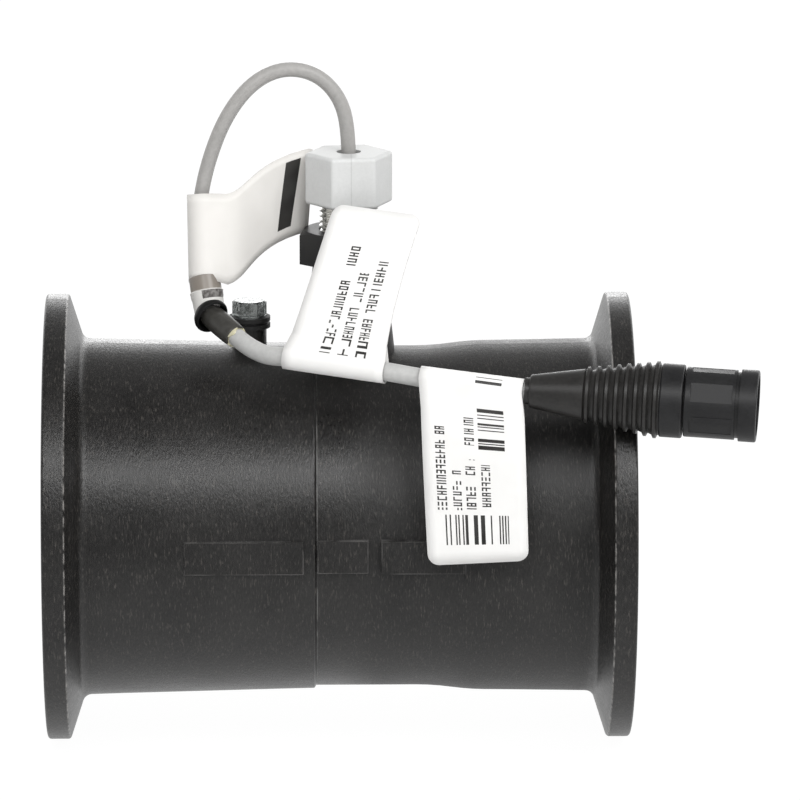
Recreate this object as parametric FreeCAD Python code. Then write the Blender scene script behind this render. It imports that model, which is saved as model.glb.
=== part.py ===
import FreeCAD
import Part
import math
import os

from FreeCAD import Vector

# Flanged turbine flow meter with a pulse sensor, a cable splice and a three-pin connector.
# Millimetres. +X is the flow axis, from the inlet flange to the outlet flange.
# +Z points to the sensor. The origin is the centre of the inlet face.

# Moulded body
FACE_TO_FACE = 156.5
FLANGE_R = 60.0
FLANGE_RIM = 6.0
FLANGE_EDGE = 0.8
FLANGE_CONE_RUN = 3.9
FLANGE_ROOT_FILLET = 2.6
INLET_WALL_R = 48.05
SEAM_X = 71.7
SEAM_WALL_R = 46.6
MIDDLE_WALL_R = 45.8
FLARE_START_X = 104.0
FLARE_END_X = 113.0
FLARE_END_R = 47.1
FLARE_RADIUS = 70.0
OUTLET_WALL_R = 47.6
BORE_R = 38.1
BORE_ENTRY = 28.0
SEAT_R = 37.6
THROAT_R = 36.2
THROAT_START_X = 60.0
THROAT_END_X = 98.0
GASKET_GROOVE_R = 44.0
GASKET_GROOVE_WIDTH = 4.0
GASKET_GROOVE_DEPTH = 2.2

# Raised pads on the front of the body
PAD_HALF_HEIGHT = 4.4
LONG_PAD_X = (37.3, 68.7)
LONG_PAD_Y = -47.75
SHORT_PAD_X = (72.5, 85.8)
SHORT_PAD_Y = -46.6
ARROW_PAD_X = (89.4, 111.5)
ARROW_TIP_X = 117.7
ARROW_BARB = 6.2
ARROW_PAD_Y = -47.5
PAD_ROOT_Y = -43.0

# Sensor and its tower
SENSOR_X = 81.3
TOWER_TOP_Z = 70.0
TOWER_TOP_R = 9.6
TOWER_FOOT_Z = 40.5
TOWER_FOOT_R = 12.8
TOWER_HOLE_R = 8.04
POCKET_FLOOR_Z = 38.9
SENSOR_R = 7.94
SENSOR_CHAMFER = 0.8
NUT_FLATS = 23.8
NUT_HEIGHT = 8.9
NUT_TURN = 16.0
HEAD_BASE_Z = 86.0
HEAD_TOP_Z = 99.9
HEAD_FLATS = 20.5
HEAD_TURN = 7.0
HEAD_EDGE = 1.0
CABLE_HOLE_R = 3.3
CABLE_HOLE_DEPTH = 4.0

# Retaining screw, its collar and its boss
SCREW_X = 54.6
SCREW_BOSS_R = 4.6
SCREW_BOSS_FOOT_Z = 42.0
SCREW_BOSS_TOP_Z = 52.2
COLLAR_HEIGHT = 2.95
COLLAR_CREST_R = 5.6
COLLAR_ROOT_R = 4.9
COLLAR_RIB = 1.1
SCREW_R = 2.5
SCREW_HOLE_R = 2.6
SCREW_TIP_Z = 36.0
SCREW_FLATS = 8.0
SCREW_TURN = -2.5
SCREW_HEAD_HEIGHT = 4.3
SCREW_FLANGE_R = 4.6
SCREW_FLANGE_HEIGHT = 0.7

# Turbine and the cartridges that carry it
HUB_RING_R = 37.4
HUB_RING_INNER_R = 34.9
HUB_CORE_R = 9.5
VANE_COUNT = 4
VANE_THICKNESS = 2.4
INLET_RING_X = 44.0
INLET_CORE_X = (40.0, 63.0)
INLET_VANE_X = (46.0, 59.0)
OUTLET_RING_END_X = 116.2
OUTLET_CORE_X = (92.0, 119.0)
OUTLET_TAIL_X = 127.0
OUTLET_VANE_X = (100.0, 114.5)
STUD_R = 4.5
STUD_HOLE_R = 4.6
STUD_X = (29.0, 70.0)
STUD_SLOT_WIDTH = 1.3
STUD_SLOT_DEPTH = 1.6
LOCK_NUT_FLATS = 13.0
LOCK_NUT_HEIGHT = 5.5
LOCK_NUT_TURN = 30.0
BUSHING_R = 3.0
BUSHING_LENGTH = 6.0
BUSHING_BORE_R = 1.55
SHAFT_R = 1.5
SHAFT_X = (65.2, 96.8)
ROTOR_HUB_R = 8.0
ROTOR_HUB_X = (70.4, 91.6)
ROTOR_TIP_R = 35.2
BLADE_X = (72.3, 90.3)
BLADE_COUNT = 6
BLADE_PITCH = 220.0
BLADE_THICKNESS = 2.2
BLADE_FIRST_ANGLE = 30.0
MAGNET_R = 1.6
MAGNET_FOOT_R = 31.6
MAGNET_FACE_R = 34.9
MAGNET_BOSS_R = 2.8
MAGNET_BOSS_FOOT_R = 30.0
SNAP_RING_R = 39.9
SNAP_RING_INNER_R = 35.6
SNAP_RING_WIDTH = 1.6
SNAP_GROOVE_R = 40.1
SNAP_GROOVE_WIDTH = 2.0
SNAP_GAP_HALF_ANGLE = 9.0
SNAP_LUG_R = 3.0
SNAP_LUG_HOLE_R = 1.2
SNAP_LUG_CENTRE_R = 34.6
SNAP_LUG_HALF_ANGLE = 14.0

# Harness
SENSOR_CABLE_D = 3.9
SENSOR_CABLE_ROUTE = [
    Vector(SENSOR_X, 0, HEAD_TOP_Z - CABLE_HOLE_DEPTH),
    Vector(SENSOR_X, 0, 107.0),
    Vector(78.3, -0.9, 116.0),
    Vector(71.9, -1.6, 121.8),
    Vector(63.4, -2.3, 123.0),
    Vector(55.3, -2.9, 119.0),
    Vector(48.4, -3.4, 110.0),
    Vector(43.7, -3.9, 97.8),
    Vector(41.3, -5.2, 86.2),
    Vector(41.2, -7.6, 76.5),
    Vector(42.6, -10.8, 68.3),
]
HARNESS_CABLE_D = 5.0
HARNESS_CABLE_ROUTE = [
    Vector(51.2, -22.5, 54.3),
    Vector(56.81, -28.9, 50.8),
    Vector(65.6, -33.9, 51.3),
    Vector(78.0, -37.9, 50.6),
    Vector(91.5, -42.0, 49.0),
    Vector(105.5, -46.1, 47.3),
    Vector(117.5, -48.7, 46.1),
    Vector(128.1, -50.0, 45.6),
]
ARC_REACH = 0.45
SLEEVE_R = 4.1
SLEEVE_LENGTH = 10.5
SHRINK_R = 3.3
SHRINK_FLARE_R = 4.8
SHRINK_FLARE_LENGTH = 3.0

# Flag labels: reach along the cable, loop, tail from the loop to the free end.
# The pinch is where the tail starts, in loop radii from the cable's middle.
LABEL_HALF_THICKNESS = 0.2
LABEL_LOOP_WALL = 0.3
LABEL_LOOP_GAP = 0.45
LABEL_PINCH = 2.4
LABEL_CORNER_R = 3.0
UPPER_LABEL_Z = (69.6, 89.6)
UPPER_LABEL_TAIL = Vector(29.5, 13.8, 10.5)
UPPER_LABEL_SHIFT = Vector(-0.45, 0.3, 0)
UPPER_LABEL_LOOP_D = 5.0
MIDDLE_LABEL_X = (64.1, 90.6)
MIDDLE_LABEL_TAIL = Vector(12.9, 23.0, 37.5)
MIDDLE_LABEL_SHIFT = Vector(0, -0.2, 0)
LOWER_LABEL_X = (99.3, 126.4)
LOWER_LABEL_TAIL = Vector(2.0, -3.7, -47.2)
LOWER_LABEL_SHIFT = Vector(0, -0.35, -0.1)

# Connector, with distances along its own axis from the cable end
CONNECTOR_END = Vector(188.2, -57.5, 42.9)
BOOT_BACK_R = 4.3
BOOT_NECK_R = 3.5
BOOT_NECK_HOLE_R = 2.75
BOOT_NECK_LENGTH = 1.2
BOOT_TAPER_END = 14.2
BOOT_TAPER_R = 6.8
RIB_COUNT = 8
RIB_PITCH = 2.57
RIB_START = 14.5
RIB_FIRST_R = 7.4
RIB_LAST_R = 10.1
RIB_DEPTH = 0.9
RIB_CREST = 0.7
RIB_FLANK = 0.45
BOOT_LENGTH = 34.4
COLLAR_FRONT = 40.4
SHELL_COLLAR_R = 9.65
SHELL_NECK_R = 7.2
SHELL_STOP = (46.5, 48.0)
SHELL_STOP_R = 7.6
SHELL_FRONT = 57.0
SOCKET_R = 6.2
SOCKET_FLOOR = 49.0
RING_BACK = 40.8
RING_FRONT = 59.8
RING_R = 9.15
RING_FRONT_R = 9.45
RING_LIP_END = 46.1
RING_LIP_R = 7.5
RING_INNER_R = 7.95
RING_GROOVE = (54.1, 55.2)
RING_GROOVE_R = 8.65
RING_PANEL_COUNT = 6
RING_PANEL_DEPTH = 0.45
RING_PANEL_WIDTH = 5.2
RING_PANEL = (42.4, 53.4)
RING_BAR = (43.3, 53.4)
RING_BAR_WIDTH = 1.6
RING_BAR_R = 9.25
RING_BAR_TURN = 17.0
INSERT_FRONT = 55.0
PIN_COUNT = 3
PIN_R = 0.75
PIN_CIRCLE_R = 4.2
PIN_FOOT = 52.0
PIN_TIP = 58.4

# Helpers


def run_arcs(points, radii):
    """Straight runs joined by tangent arcs; a radius of 0 keeps the corner."""
    edges = []
    start = points[0]
    for index in range(1, len(points) - 1):
        corner = points[index]
        radius = radii[index]
        if radius == 0:
            edges.append(Part.LineSegment(start, corner).toShape())
            start = corner
            continue
        back = (points[index - 1] - corner).normalize()
        ahead = (points[index + 1] - corner).normalize()
        half_turn = (math.pi - back.getAngle(ahead)) / 2
        reach = radius * math.tan(half_turn)
        middle = (back + ahead).normalize() * (radius / math.cos(half_turn) - radius)
        first = corner + back * reach
        last = corner + ahead * reach
        edges.append(Part.LineSegment(start, first).toShape())
        edges.append(Part.Arc(first, corner + middle, last).toShape())
        start = last
    edges.append(Part.LineSegment(start, points[-1]).toShape())
    return edges


def profile_face(corners):
    """Face in the XZ plane from (x, radius, fillet) corners, closed along the axis."""
    points = [Vector(corner[0], 0, corner[1]) for corner in corners]
    radii = [corner[2] if len(corner) > 2 else 0 for corner in corners]
    edges = run_arcs(points, radii)
    edges.append(Part.LineSegment(points[-1], points[0]).toShape())
    return Part.Face(Part.Wire(edges))


def turned(corners):
    """Solid of revolution about the X axis."""
    return profile_face(corners).revolve(Vector(0, 0, 0), Vector(1, 0, 0), 360)


def ring(x_start, x_end, inner_r, outer_r):
    """Plain ring about the X axis."""
    return turned([(x_start, inner_r), (x_start, outer_r), (x_end, outer_r), (x_end, inner_r)])


def disc(x_start, x_end, radius):
    """Plain cylinder about the X axis."""
    return Part.makeCylinder(radius, x_end - x_start, Vector(x_start, 0, 0), Vector(1, 0, 0))


def post(x, radius, z_start, z_end):
    """Plain vertical cylinder over the flow axis."""
    return Part.makeCylinder(radius, z_end - z_start, Vector(x, 0, z_start))


def hexagon(flats, height, turn):
    """Upright hexagon prism on the origin; turn is the angle of one corner from +X."""
    corner_r = flats / math.sqrt(3)
    corners = []
    for index in range(7):
        angle = math.radians(turn + 60 * index)
        corners.append(Vector(corner_r * math.cos(angle), corner_r * math.sin(angle), 0))
    return Part.Face(Part.makePolygon(corners)).extrude(Vector(0, 0, height))


def nut_rounding(flats, height, both_sides):
    """Upright chamfered round whose overlap with a hexagon gives a nut's rounded corners."""
    corner_r = flats / math.sqrt(3) + 0.2
    drop = (corner_r - flats / 2) * math.tan(math.radians(30))
    low = drop if both_sides else 0
    flat_r = flats / 2 - 0.1
    base_r = flat_r if both_sides else corner_r
    outline = [
        Vector(0, 0, 0),
        Vector(base_r, 0, 0),
        Vector(corner_r, 0, low + 0.01),
        Vector(corner_r, 0, height - drop),
        Vector(flat_r, 0, height),
        Vector(0, 0, height),
        Vector(0, 0, 0),
    ]
    return Part.Face(Part.makePolygon(outline)).revolve(Vector(0, 0, 0), Vector(0, 0, 1), 360)


def on_axis(shape, start, direction):
    """Move a shape built along +X so that it runs from start along direction."""
    placed = shape.copy()
    placed.Placement = FreeCAD.Placement(start, FreeCAD.Rotation(Vector(1, 0, 0), direction))
    return placed


def cable(name, route, diameter):
    """Round tube along straight runs and tangent arcs as large as the runs allow."""
    radii = [0] * len(route)
    runs = [(route[index + 1] - route[index]).Length for index in range(len(route) - 1)]
    for index in range(1, len(route) - 1):
        before = route[index] - route[index - 1]
        after = route[index + 1] - route[index]
        half_turn = before.getAngle(after) / 2
        radii[index] = ARC_REACH * min(runs[index - 1], runs[index]) / math.tan(half_turn)
    path = Part.Wire(run_arcs(route, radii))
    start_direction = (route[1] - route[0]).normalize()
    section = Part.Wire(Part.Circle(route[0], start_direction, diameter / 2).toShape())
    tube = path.makePipeShell([section], True, False)
    expected = path.Length * math.pi * diameter ** 2 / 4
    print(name, "length", round(path.Length, 1), "volume ratio", round(tube.Volume / expected, 3))
    print(name, "radii in diameters", [round(radius / diameter, 1) for radius in radii[1:-1]])
    return tube


def route_at(route, axis, value):
    """Point of a route's runs where one coordinate has the given value."""
    for start, end in zip(route, route[1:]):
        share = (value - start[axis]) / (end[axis] - start[axis]) if end[axis] != start[axis] else -1
        if 0 <= share <= 1:
            point = start + (end - start) * share
    return point


def flag(first, last, tail_span, cable_d):
    """Label wrapped round a cable from first to last, its halves stuck together as a flat tail."""
    along = (last - first).normalize()
    width = (last - first).Length
    length = tail_span.Length
    tail = Vector(tail_span).normalize()
    cable_point = first
    side = along.cross(tail).normalize()
    inner_r = cable_d / 2 + LABEL_LOOP_GAP
    outer_r = inner_r + LABEL_LOOP_WALL
    pinch = LABEL_PINCH * outer_r
    touch = math.acos(outer_r / pinch)
    half = LABEL_HALF_THICKNESS

    def place(forward, sideways):
        return cable_point + tail * forward + side * sideways

    upper = place(outer_r * math.cos(touch), outer_r * math.sin(touch))
    lower = place(outer_r * math.cos(touch), -outer_r * math.sin(touch))
    edges = [
        Part.Arc(lower, place(-outer_r, 0), upper).toShape(),
        Part.LineSegment(upper, place(pinch, half)).toShape(),
        Part.LineSegment(place(pinch, half), place(length, half)).toShape(),
        Part.LineSegment(place(length, half), place(length, -half)).toShape(),
        Part.LineSegment(place(length, -half), place(pinch, -half)).toShape(),
        Part.LineSegment(place(pinch, -half), lower).toShape(),
    ]
    outer = Part.Face(Part.Wire(edges))
    normal = tail.cross(side)
    hole = Part.Face(Part.Wire(Part.Circle(cable_point, normal, inner_r).toShape()))
    sheet = outer.cut(hole).Faces[0].extrude(along * width)
    corners = [edge for edge in sheet.Edges if abs(edge.Length - 2 * half) < 0.001]
    return sheet.makeFillet(LABEL_CORNER_R, corners)


# Body


def body_outside():
    cone_foot_x = FLANGE_RIM + FLANGE_CONE_RUN
    return turned([
        (0, 0),
        (0, FLANGE_R, FLANGE_EDGE),
        (FLANGE_RIM, FLANGE_R, FLANGE_EDGE),
        (cone_foot_x, INLET_WALL_R, FLANGE_ROOT_FILLET),
        (SEAM_X, SEAM_WALL_R, 0.3),
        (SEAM_X + 0.5, MIDDLE_WALL_R),
        (FLARE_START_X, MIDDLE_WALL_R, FLARE_RADIUS),
        (FLARE_END_X, FLARE_END_R, FLARE_RADIUS),
        (FACE_TO_FACE - cone_foot_x, OUTLET_WALL_R, FLANGE_ROOT_FILLET),
        (FACE_TO_FACE - FLANGE_RIM, FLANGE_R, FLANGE_EDGE),
        (FACE_TO_FACE, FLANGE_R, FLANGE_EDGE),
        (FACE_TO_FACE, 0),
    ])


def body_passage():
    """Bore at both ends, a seat for each hub, the turbine's throat and the snap ring's groove."""
    past = 1.0
    groove_end = OUTLET_RING_END_X + SNAP_GROOVE_WIDTH
    return turned([
        (-past, 0),
        (-past, BORE_R),
        (BORE_ENTRY, BORE_R),
        (BORE_ENTRY, SEAT_R),
        (THROAT_START_X, SEAT_R),
        (THROAT_START_X, THROAT_R),
        (THROAT_END_X, THROAT_R),
        (THROAT_END_X, SEAT_R),
        (OUTLET_RING_END_X, SEAT_R),
        (OUTLET_RING_END_X, SNAP_GROOVE_R),
        (groove_end, SNAP_GROOVE_R),
        (groove_end, SEAT_R),
        (FACE_TO_FACE - BORE_ENTRY, SEAT_R),
        (FACE_TO_FACE - BORE_ENTRY, BORE_R),
        (FACE_TO_FACE + past, BORE_R),
        (FACE_TO_FACE + past, 0),
    ])


def gasket_groove(face_x, depth):
    inner_r = GASKET_GROOVE_R - GASKET_GROOVE_WIDTH / 2
    outer_r = GASKET_GROOVE_R + GASKET_GROOVE_WIDTH / 2
    return ring(min(face_x, face_x + depth), max(face_x, face_x + depth), inner_r, outer_r)


def plain_pad(x_range, face_y):
    start = Vector(x_range[0], face_y, -PAD_HALF_HEIGHT)
    return Part.makeBox(x_range[1] - x_range[0], PAD_ROOT_Y - face_y, 2 * PAD_HALF_HEIGHT, start)


def arrow_pad():
    half_outline = [
        (ARROW_PAD_X[0], PAD_HALF_HEIGHT),
        (ARROW_PAD_X[1], PAD_HALF_HEIGHT),
        (ARROW_PAD_X[1], ARROW_BARB),
    ]
    outline = [Vector(x, ARROW_PAD_Y, z) for x, z in half_outline]
    outline.append(Vector(ARROW_TIP_X, ARROW_PAD_Y, 0))
    outline += [Vector(x, ARROW_PAD_Y, -z) for x, z in reversed(half_outline)]
    outline.append(outline[0])
    return Part.Face(Part.makePolygon(outline)).extrude(Vector(0, PAD_ROOT_Y - ARROW_PAD_Y, 0))


def meter_body():
    tower_height = TOWER_TOP_Z - TOWER_FOOT_Z
    tower = Part.makeCone(TOWER_FOOT_R, TOWER_TOP_R, tower_height, Vector(SENSOR_X, 0, TOWER_FOOT_Z))
    boss = post(SCREW_X, SCREW_BOSS_R, SCREW_BOSS_FOOT_Z, SCREW_BOSS_TOP_Z)
    pads = [plain_pad(LONG_PAD_X, LONG_PAD_Y), plain_pad(SHORT_PAD_X, SHORT_PAD_Y), arrow_pad()]
    body = body_outside().fuse([tower, boss] + pads)
    body = body.cut([
        body_passage(),
        gasket_groove(0, GASKET_GROOVE_DEPTH),
        gasket_groove(FACE_TO_FACE, -GASKET_GROOVE_DEPTH),
        post(SENSOR_X, TOWER_HOLE_R, POCKET_FLOOR_Z, TOWER_TOP_Z + 1),
        post(SCREW_X, SCREW_HOLE_R, SEAT_R - 2, SCREW_BOSS_TOP_Z + 1),
    ])
    return body.removeSplitter()


# Sensor and screw


def sensor_barrel():
    barrel = post(SENSOR_X, SENSOR_R, POCKET_FLOOR_Z, HEAD_BASE_Z)
    foot = [edge for edge in barrel.Edges if abs(edge.BoundBox.ZMax - POCKET_FLOOR_Z) < 0.001]
    return barrel.makeChamfer(SENSOR_CHAMFER, foot)


def jam_nut():
    nut = hexagon(NUT_FLATS, NUT_HEIGHT, NUT_TURN).common(nut_rounding(NUT_FLATS, NUT_HEIGHT, False))
    nut.translate(Vector(SENSOR_X, 0, TOWER_TOP_Z))
    return nut.cut(post(SENSOR_X, TOWER_HOLE_R, TOWER_TOP_Z - 1, TOWER_TOP_Z + NUT_HEIGHT + 1))


def sensor_head():
    height = HEAD_TOP_Z - HEAD_BASE_Z
    head = hexagon(HEAD_FLATS, height, HEAD_TURN)
    head = head.makeFillet(HEAD_EDGE, head.Edges)
    head.translate(Vector(SENSOR_X, 0, HEAD_BASE_Z))
    return head.cut(post(SENSOR_X, CABLE_HOLE_R, HEAD_TOP_Z - CABLE_HOLE_DEPTH, HEAD_TOP_Z + 1))


def retaining_screw():
    under_head = SCREW_BOSS_TOP_Z + COLLAR_HEIGHT
    head = hexagon(SCREW_FLATS, SCREW_HEAD_HEIGHT, SCREW_TURN)
    head = head.common(nut_rounding(SCREW_FLATS, SCREW_HEAD_HEIGHT, False))
    head.translate(Vector(SCREW_X, 0, under_head))
    flange = post(SCREW_X, SCREW_FLANGE_R, under_head, under_head + SCREW_FLANGE_HEIGHT)
    return head.fuse([flange, post(SCREW_X, SCREW_R, SCREW_TIP_Z, under_head)]).removeSplitter()


def screw_seal_collar():
    gap = COLLAR_HEIGHT - 2 * COLLAR_RIB
    core = post(SCREW_X, COLLAR_ROOT_R, SCREW_BOSS_TOP_Z, SCREW_BOSS_TOP_Z + COLLAR_HEIGHT)
    ribs = []
    for index in range(2):
        rib_z = SCREW_BOSS_TOP_Z + index * (COLLAR_RIB + gap)
        ribs.append(post(SCREW_X, COLLAR_CREST_R, rib_z, rib_z + COLLAR_RIB))
    hole = post(SCREW_X, SCREW_HOLE_R, SCREW_BOSS_TOP_Z - 1, SCREW_BOSS_TOP_Z + COLLAR_HEIGHT + 1)
    return core.fuse(ribs).cut(hole).removeSplitter()


# Turbine


def vanes(x_range, outer_r):
    plates = []
    for index in range(VANE_COUNT):
        plate = Part.makeBox(
            x_range[1] - x_range[0],
            VANE_THICKNESS,
            outer_r - HUB_CORE_R + 2,
            Vector(x_range[0], -VANE_THICKNESS / 2, HUB_CORE_R - 2),
        )
        plate.rotate(Vector(0, 0, 0), Vector(1, 0, 0), index * 360 / VANE_COUNT)
        plates.append(plate)
    return plates


def inlet_hub():
    core = turned([
        (INLET_CORE_X[0], 0),
        (INLET_CORE_X[0], HUB_CORE_R, 2.0),
        (INLET_CORE_X[1], HUB_CORE_R, 2.0),
        (INLET_CORE_X[1], 0),
    ])
    rim = ring(INLET_RING_X, THROAT_START_X, HUB_RING_INNER_R, HUB_RING_R)
    hub = core.fuse([rim] + vanes(INLET_VANE_X, HUB_RING_INNER_R + 1))
    hub = hub.cut([
        disc(INLET_CORE_X[0] - 1, INLET_CORE_X[1] + 1, STUD_HOLE_R),
        post(SCREW_X, SCREW_HOLE_R, SCREW_TIP_Z - 0.2, HUB_RING_R + 1),
    ])
    return hub.removeSplitter()


def outlet_hub():
    core = turned([
        (OUTLET_CORE_X[0], 0),
        (OUTLET_CORE_X[0], HUB_CORE_R, 1.0),
        (OUTLET_CORE_X[1], HUB_CORE_R, 6.0),
        (OUTLET_TAIL_X, HUB_CORE_R / 3, 1.5),
        (OUTLET_TAIL_X, 0),
    ])
    rim = ring(THROAT_END_X, OUTLET_RING_END_X, HUB_RING_INNER_R, HUB_RING_R)
    hub = core.fuse([rim] + vanes(OUTLET_VANE_X, HUB_RING_INNER_R + 1))
    seat = disc(OUTLET_CORE_X[0] - 1, OUTLET_CORE_X[0] + BUSHING_LENGTH, BUSHING_R)
    return hub.cut(seat).removeSplitter()


def hub_stud():
    stud = disc(STUD_X[0], STUD_X[1], STUD_R)
    seat = disc(STUD_X[1] - BUSHING_LENGTH, STUD_X[1] + 1, BUSHING_R)
    slot = Part.makeBox(
        STUD_SLOT_DEPTH + 1,
        4 * STUD_R,
        STUD_SLOT_WIDTH,
        Vector(STUD_X[0] - 1, -2 * STUD_R, -STUD_SLOT_WIDTH / 2),
    )
    return stud.cut([seat, slot])


def stud_lock_nut():
    nut = hexagon(LOCK_NUT_FLATS, LOCK_NUT_HEIGHT, LOCK_NUT_TURN)
    nut = nut.common(nut_rounding(LOCK_NUT_FLATS, LOCK_NUT_HEIGHT, False))
    nut.rotate(Vector(0, 0, 0), Vector(0, 1, 0), -90)
    nut.translate(Vector(INLET_CORE_X[0], 0, 0))
    return nut.cut(disc(STUD_X[0], INLET_CORE_X[0] + 1, STUD_HOLE_R))


def bushing(x_start):
    return ring(x_start, x_start + BUSHING_LENGTH, BUSHING_BORE_R, BUSHING_R)


def blade_angles():
    return [BLADE_FIRST_ANGLE + index * 360 / BLADE_COUNT for index in range(BLADE_COUNT)]


def blade():
    """One twisted blade, standing along +Z, trimmed to the hub's length and the tip radius."""
    middle_x = (BLADE_X[0] + BLADE_X[1]) / 2
    sections = []
    for radius in (ROTOR_HUB_R - 1.5, 15.0, 23.0, 31.0, ROTOR_TIP_R + 3.0):
        slope = math.atan(2 * math.pi * radius / BLADE_PITCH)
        chord = Vector(math.cos(slope), math.sin(slope), 0)
        across = Vector(-math.sin(slope), math.cos(slope), 0) * (BLADE_THICKNESS / 2)
        half_chord = (BLADE_X[1] - BLADE_X[0]) / 2 / math.cos(slope)
        nose = chord * (half_chord + 1.0)
        shoulder = chord * (half_chord - 4.0)
        centre = Vector(middle_x, 0, radius)
        corners = [
            centre - nose,
            centre - shoulder + across,
            centre + shoulder + across,
            centre + nose,
            centre + shoulder - across,
            centre - shoulder - across,
        ]
        sections.append(Part.makePolygon(corners + [corners[0]]))
    twisted = Part.makeLoft(sections, True, False)
    return twisted.common(disc(BLADE_X[0], BLADE_X[1], ROTOR_TIP_R))


def on_blade(shape, angle):
    """Turn a shape that stands along +Z to one blade's place."""
    turned_shape = shape.copy()
    turned_shape.rotate(Vector(0, 0, 0), Vector(1, 0, 0), angle)
    return turned_shape


def turbine_rotor():
    middle_x = (BLADE_X[0] + BLADE_X[1]) / 2
    hub = turned([
        (ROTOR_HUB_X[0], 0),
        (ROTOR_HUB_X[0], ROTOR_HUB_R, 1.2),
        (ROTOR_HUB_X[1], ROTOR_HUB_R, 1.2),
        (ROTOR_HUB_X[1], 0),
    ])
    lug = post(middle_x, MAGNET_BOSS_R, MAGNET_BOSS_FOOT_R, ROTOR_TIP_R + 1)
    lug = lug.common(disc(BLADE_X[0], BLADE_X[1], ROTOR_TIP_R))
    pocket = post(middle_x, MAGNET_R, MAGNET_FOOT_R, ROTOR_TIP_R + 1)
    one_blade = blade().fuse(lug).cut(pocket)
    blades = [on_blade(one_blade, angle) for angle in blade_angles()]
    shaft_hole = disc(ROTOR_HUB_X[0] - 1, ROTOR_HUB_X[1] + 1, SHAFT_R)
    return hub.fuse(blades).cut(shaft_hole).removeSplitter()


def rotor_magnets():
    middle_x = (BLADE_X[0] + BLADE_X[1]) / 2
    magnet = post(middle_x, MAGNET_R, MAGNET_FOOT_R, MAGNET_FACE_R)
    return Part.makeCompound([on_blade(magnet, angle) for angle in blade_angles()])


def snap_ring():
    start_x = OUTLET_RING_END_X
    end_x = start_x + SNAP_RING_WIDTH
    band = ring(start_x, end_x, SNAP_RING_INNER_R, SNAP_RING_R)
    lugs = []
    holes = []
    for side in (-1, 1):
        angle = math.radians(180 + side * SNAP_LUG_HALF_ANGLE)
        offset = Vector(0, SNAP_LUG_CENTRE_R * math.sin(angle), SNAP_LUG_CENTRE_R * math.cos(angle))
        lug = disc(start_x, end_x, SNAP_LUG_R)
        hole = disc(start_x - 1, end_x + 1, SNAP_LUG_HOLE_R)
        lug.translate(offset)
        hole.translate(offset)
        lugs.append(lug)
        holes.append(hole)
    far = SNAP_RING_R + 5
    spread = far * math.tan(math.radians(SNAP_GAP_HALF_ANGLE))
    mouth = Part.Face(Part.makePolygon([
        Vector(start_x - 1, 0, 0),
        Vector(start_x - 1, spread, -far),
        Vector(start_x - 1, -spread, -far),
        Vector(start_x - 1, 0, 0),
    ])).extrude(Vector(SNAP_RING_WIDTH + 2, 0, 0))
    return band.cut(mouth).fuse(lugs).cut(holes).removeSplitter()


# Harness


def cable_end(route):
    """Last point of a route and the direction in which the cable arrives there."""
    return route[-1], (route[-1] - route[-2]).normalize()


def shrink_axis():
    """Start, direction and length of the shrink tube, from the sleeve's end to the harness cable."""
    sleeve_start, sleeve_direction = cable_end(SENSOR_CABLE_ROUTE)
    start = sleeve_start + sleeve_direction * SLEEVE_LENGTH
    span = HARNESS_CABLE_ROUTE[0] - start
    length = span.Length
    return start, span.normalize(), length


def splice_sleeve():
    start, direction = cable_end(SENSOR_CABLE_ROUTE)
    sleeve = on_axis(disc(0, SLEEVE_LENGTH + SLEEVE_R, SLEEVE_R), start, direction)
    shrink_start, shrink_direction, length = shrink_axis()
    beyond = on_axis(disc(0, length, 3 * SLEEVE_R), shrink_start, shrink_direction)
    return sleeve.cut(beyond)


def heat_shrink():
    start, direction, length = shrink_axis()
    tube = turned([
        (0, 0),
        (0, SHRINK_FLARE_R),
        (SHRINK_FLARE_LENGTH, SHRINK_R, 2.0),
        (length, SHRINK_R, 0.6),
        (length, 0),
    ])
    return on_axis(tube, start, direction)


def flag_label_upper():
    first, last = [route_at(SENSOR_CABLE_ROUTE, 2, z) + UPPER_LABEL_SHIFT for z in UPPER_LABEL_Z]
    return flag(first, last, UPPER_LABEL_TAIL, UPPER_LABEL_LOOP_D)


def flag_label_middle():
    first, last = [route_at(HARNESS_CABLE_ROUTE, 0, x) + MIDDLE_LABEL_SHIFT for x in MIDDLE_LABEL_X]
    return flag(first, last, MIDDLE_LABEL_TAIL, HARNESS_CABLE_D)


def flag_label_lower():
    first, last = [route_at(HARNESS_CABLE_ROUTE, 0, x) + LOWER_LABEL_SHIFT for x in LOWER_LABEL_X]
    return flag(first, last, LOWER_LABEL_TAIL, HARNESS_CABLE_D)


# Connector


def connector_axis():
    start = HARNESS_CABLE_ROUTE[-1]
    return start, (CONNECTOR_END - start).normalize()


def on_connector(shape):
    start, direction = connector_axis()
    return on_axis(shape, start, direction)


def connector_boot():
    corners = [(0, 0), (0, BOOT_BACK_R, 0.5), (BOOT_TAPER_END, BOOT_TAPER_R)]
    for index in range(RIB_COUNT):
        rib_start = RIB_START + index * RIB_PITCH
        crest_r = RIB_FIRST_R + (RIB_LAST_R - RIB_FIRST_R) * index / (RIB_COUNT - 1)
        root_r = crest_r - RIB_DEPTH
        corners += [
            (rib_start, root_r),
            (rib_start + RIB_FLANK, crest_r),
            (rib_start + RIB_FLANK + RIB_CREST, crest_r),
            (rib_start + 2 * RIB_FLANK + RIB_CREST, root_r),
        ]
    corners += [(BOOT_LENGTH, corners[-1][1]), (BOOT_LENGTH, 0)]
    neck = ring(-BOOT_NECK_LENGTH, 0, BOOT_NECK_HOLE_R, BOOT_NECK_R)
    return on_connector(turned(corners).fuse(neck).removeSplitter())


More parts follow.
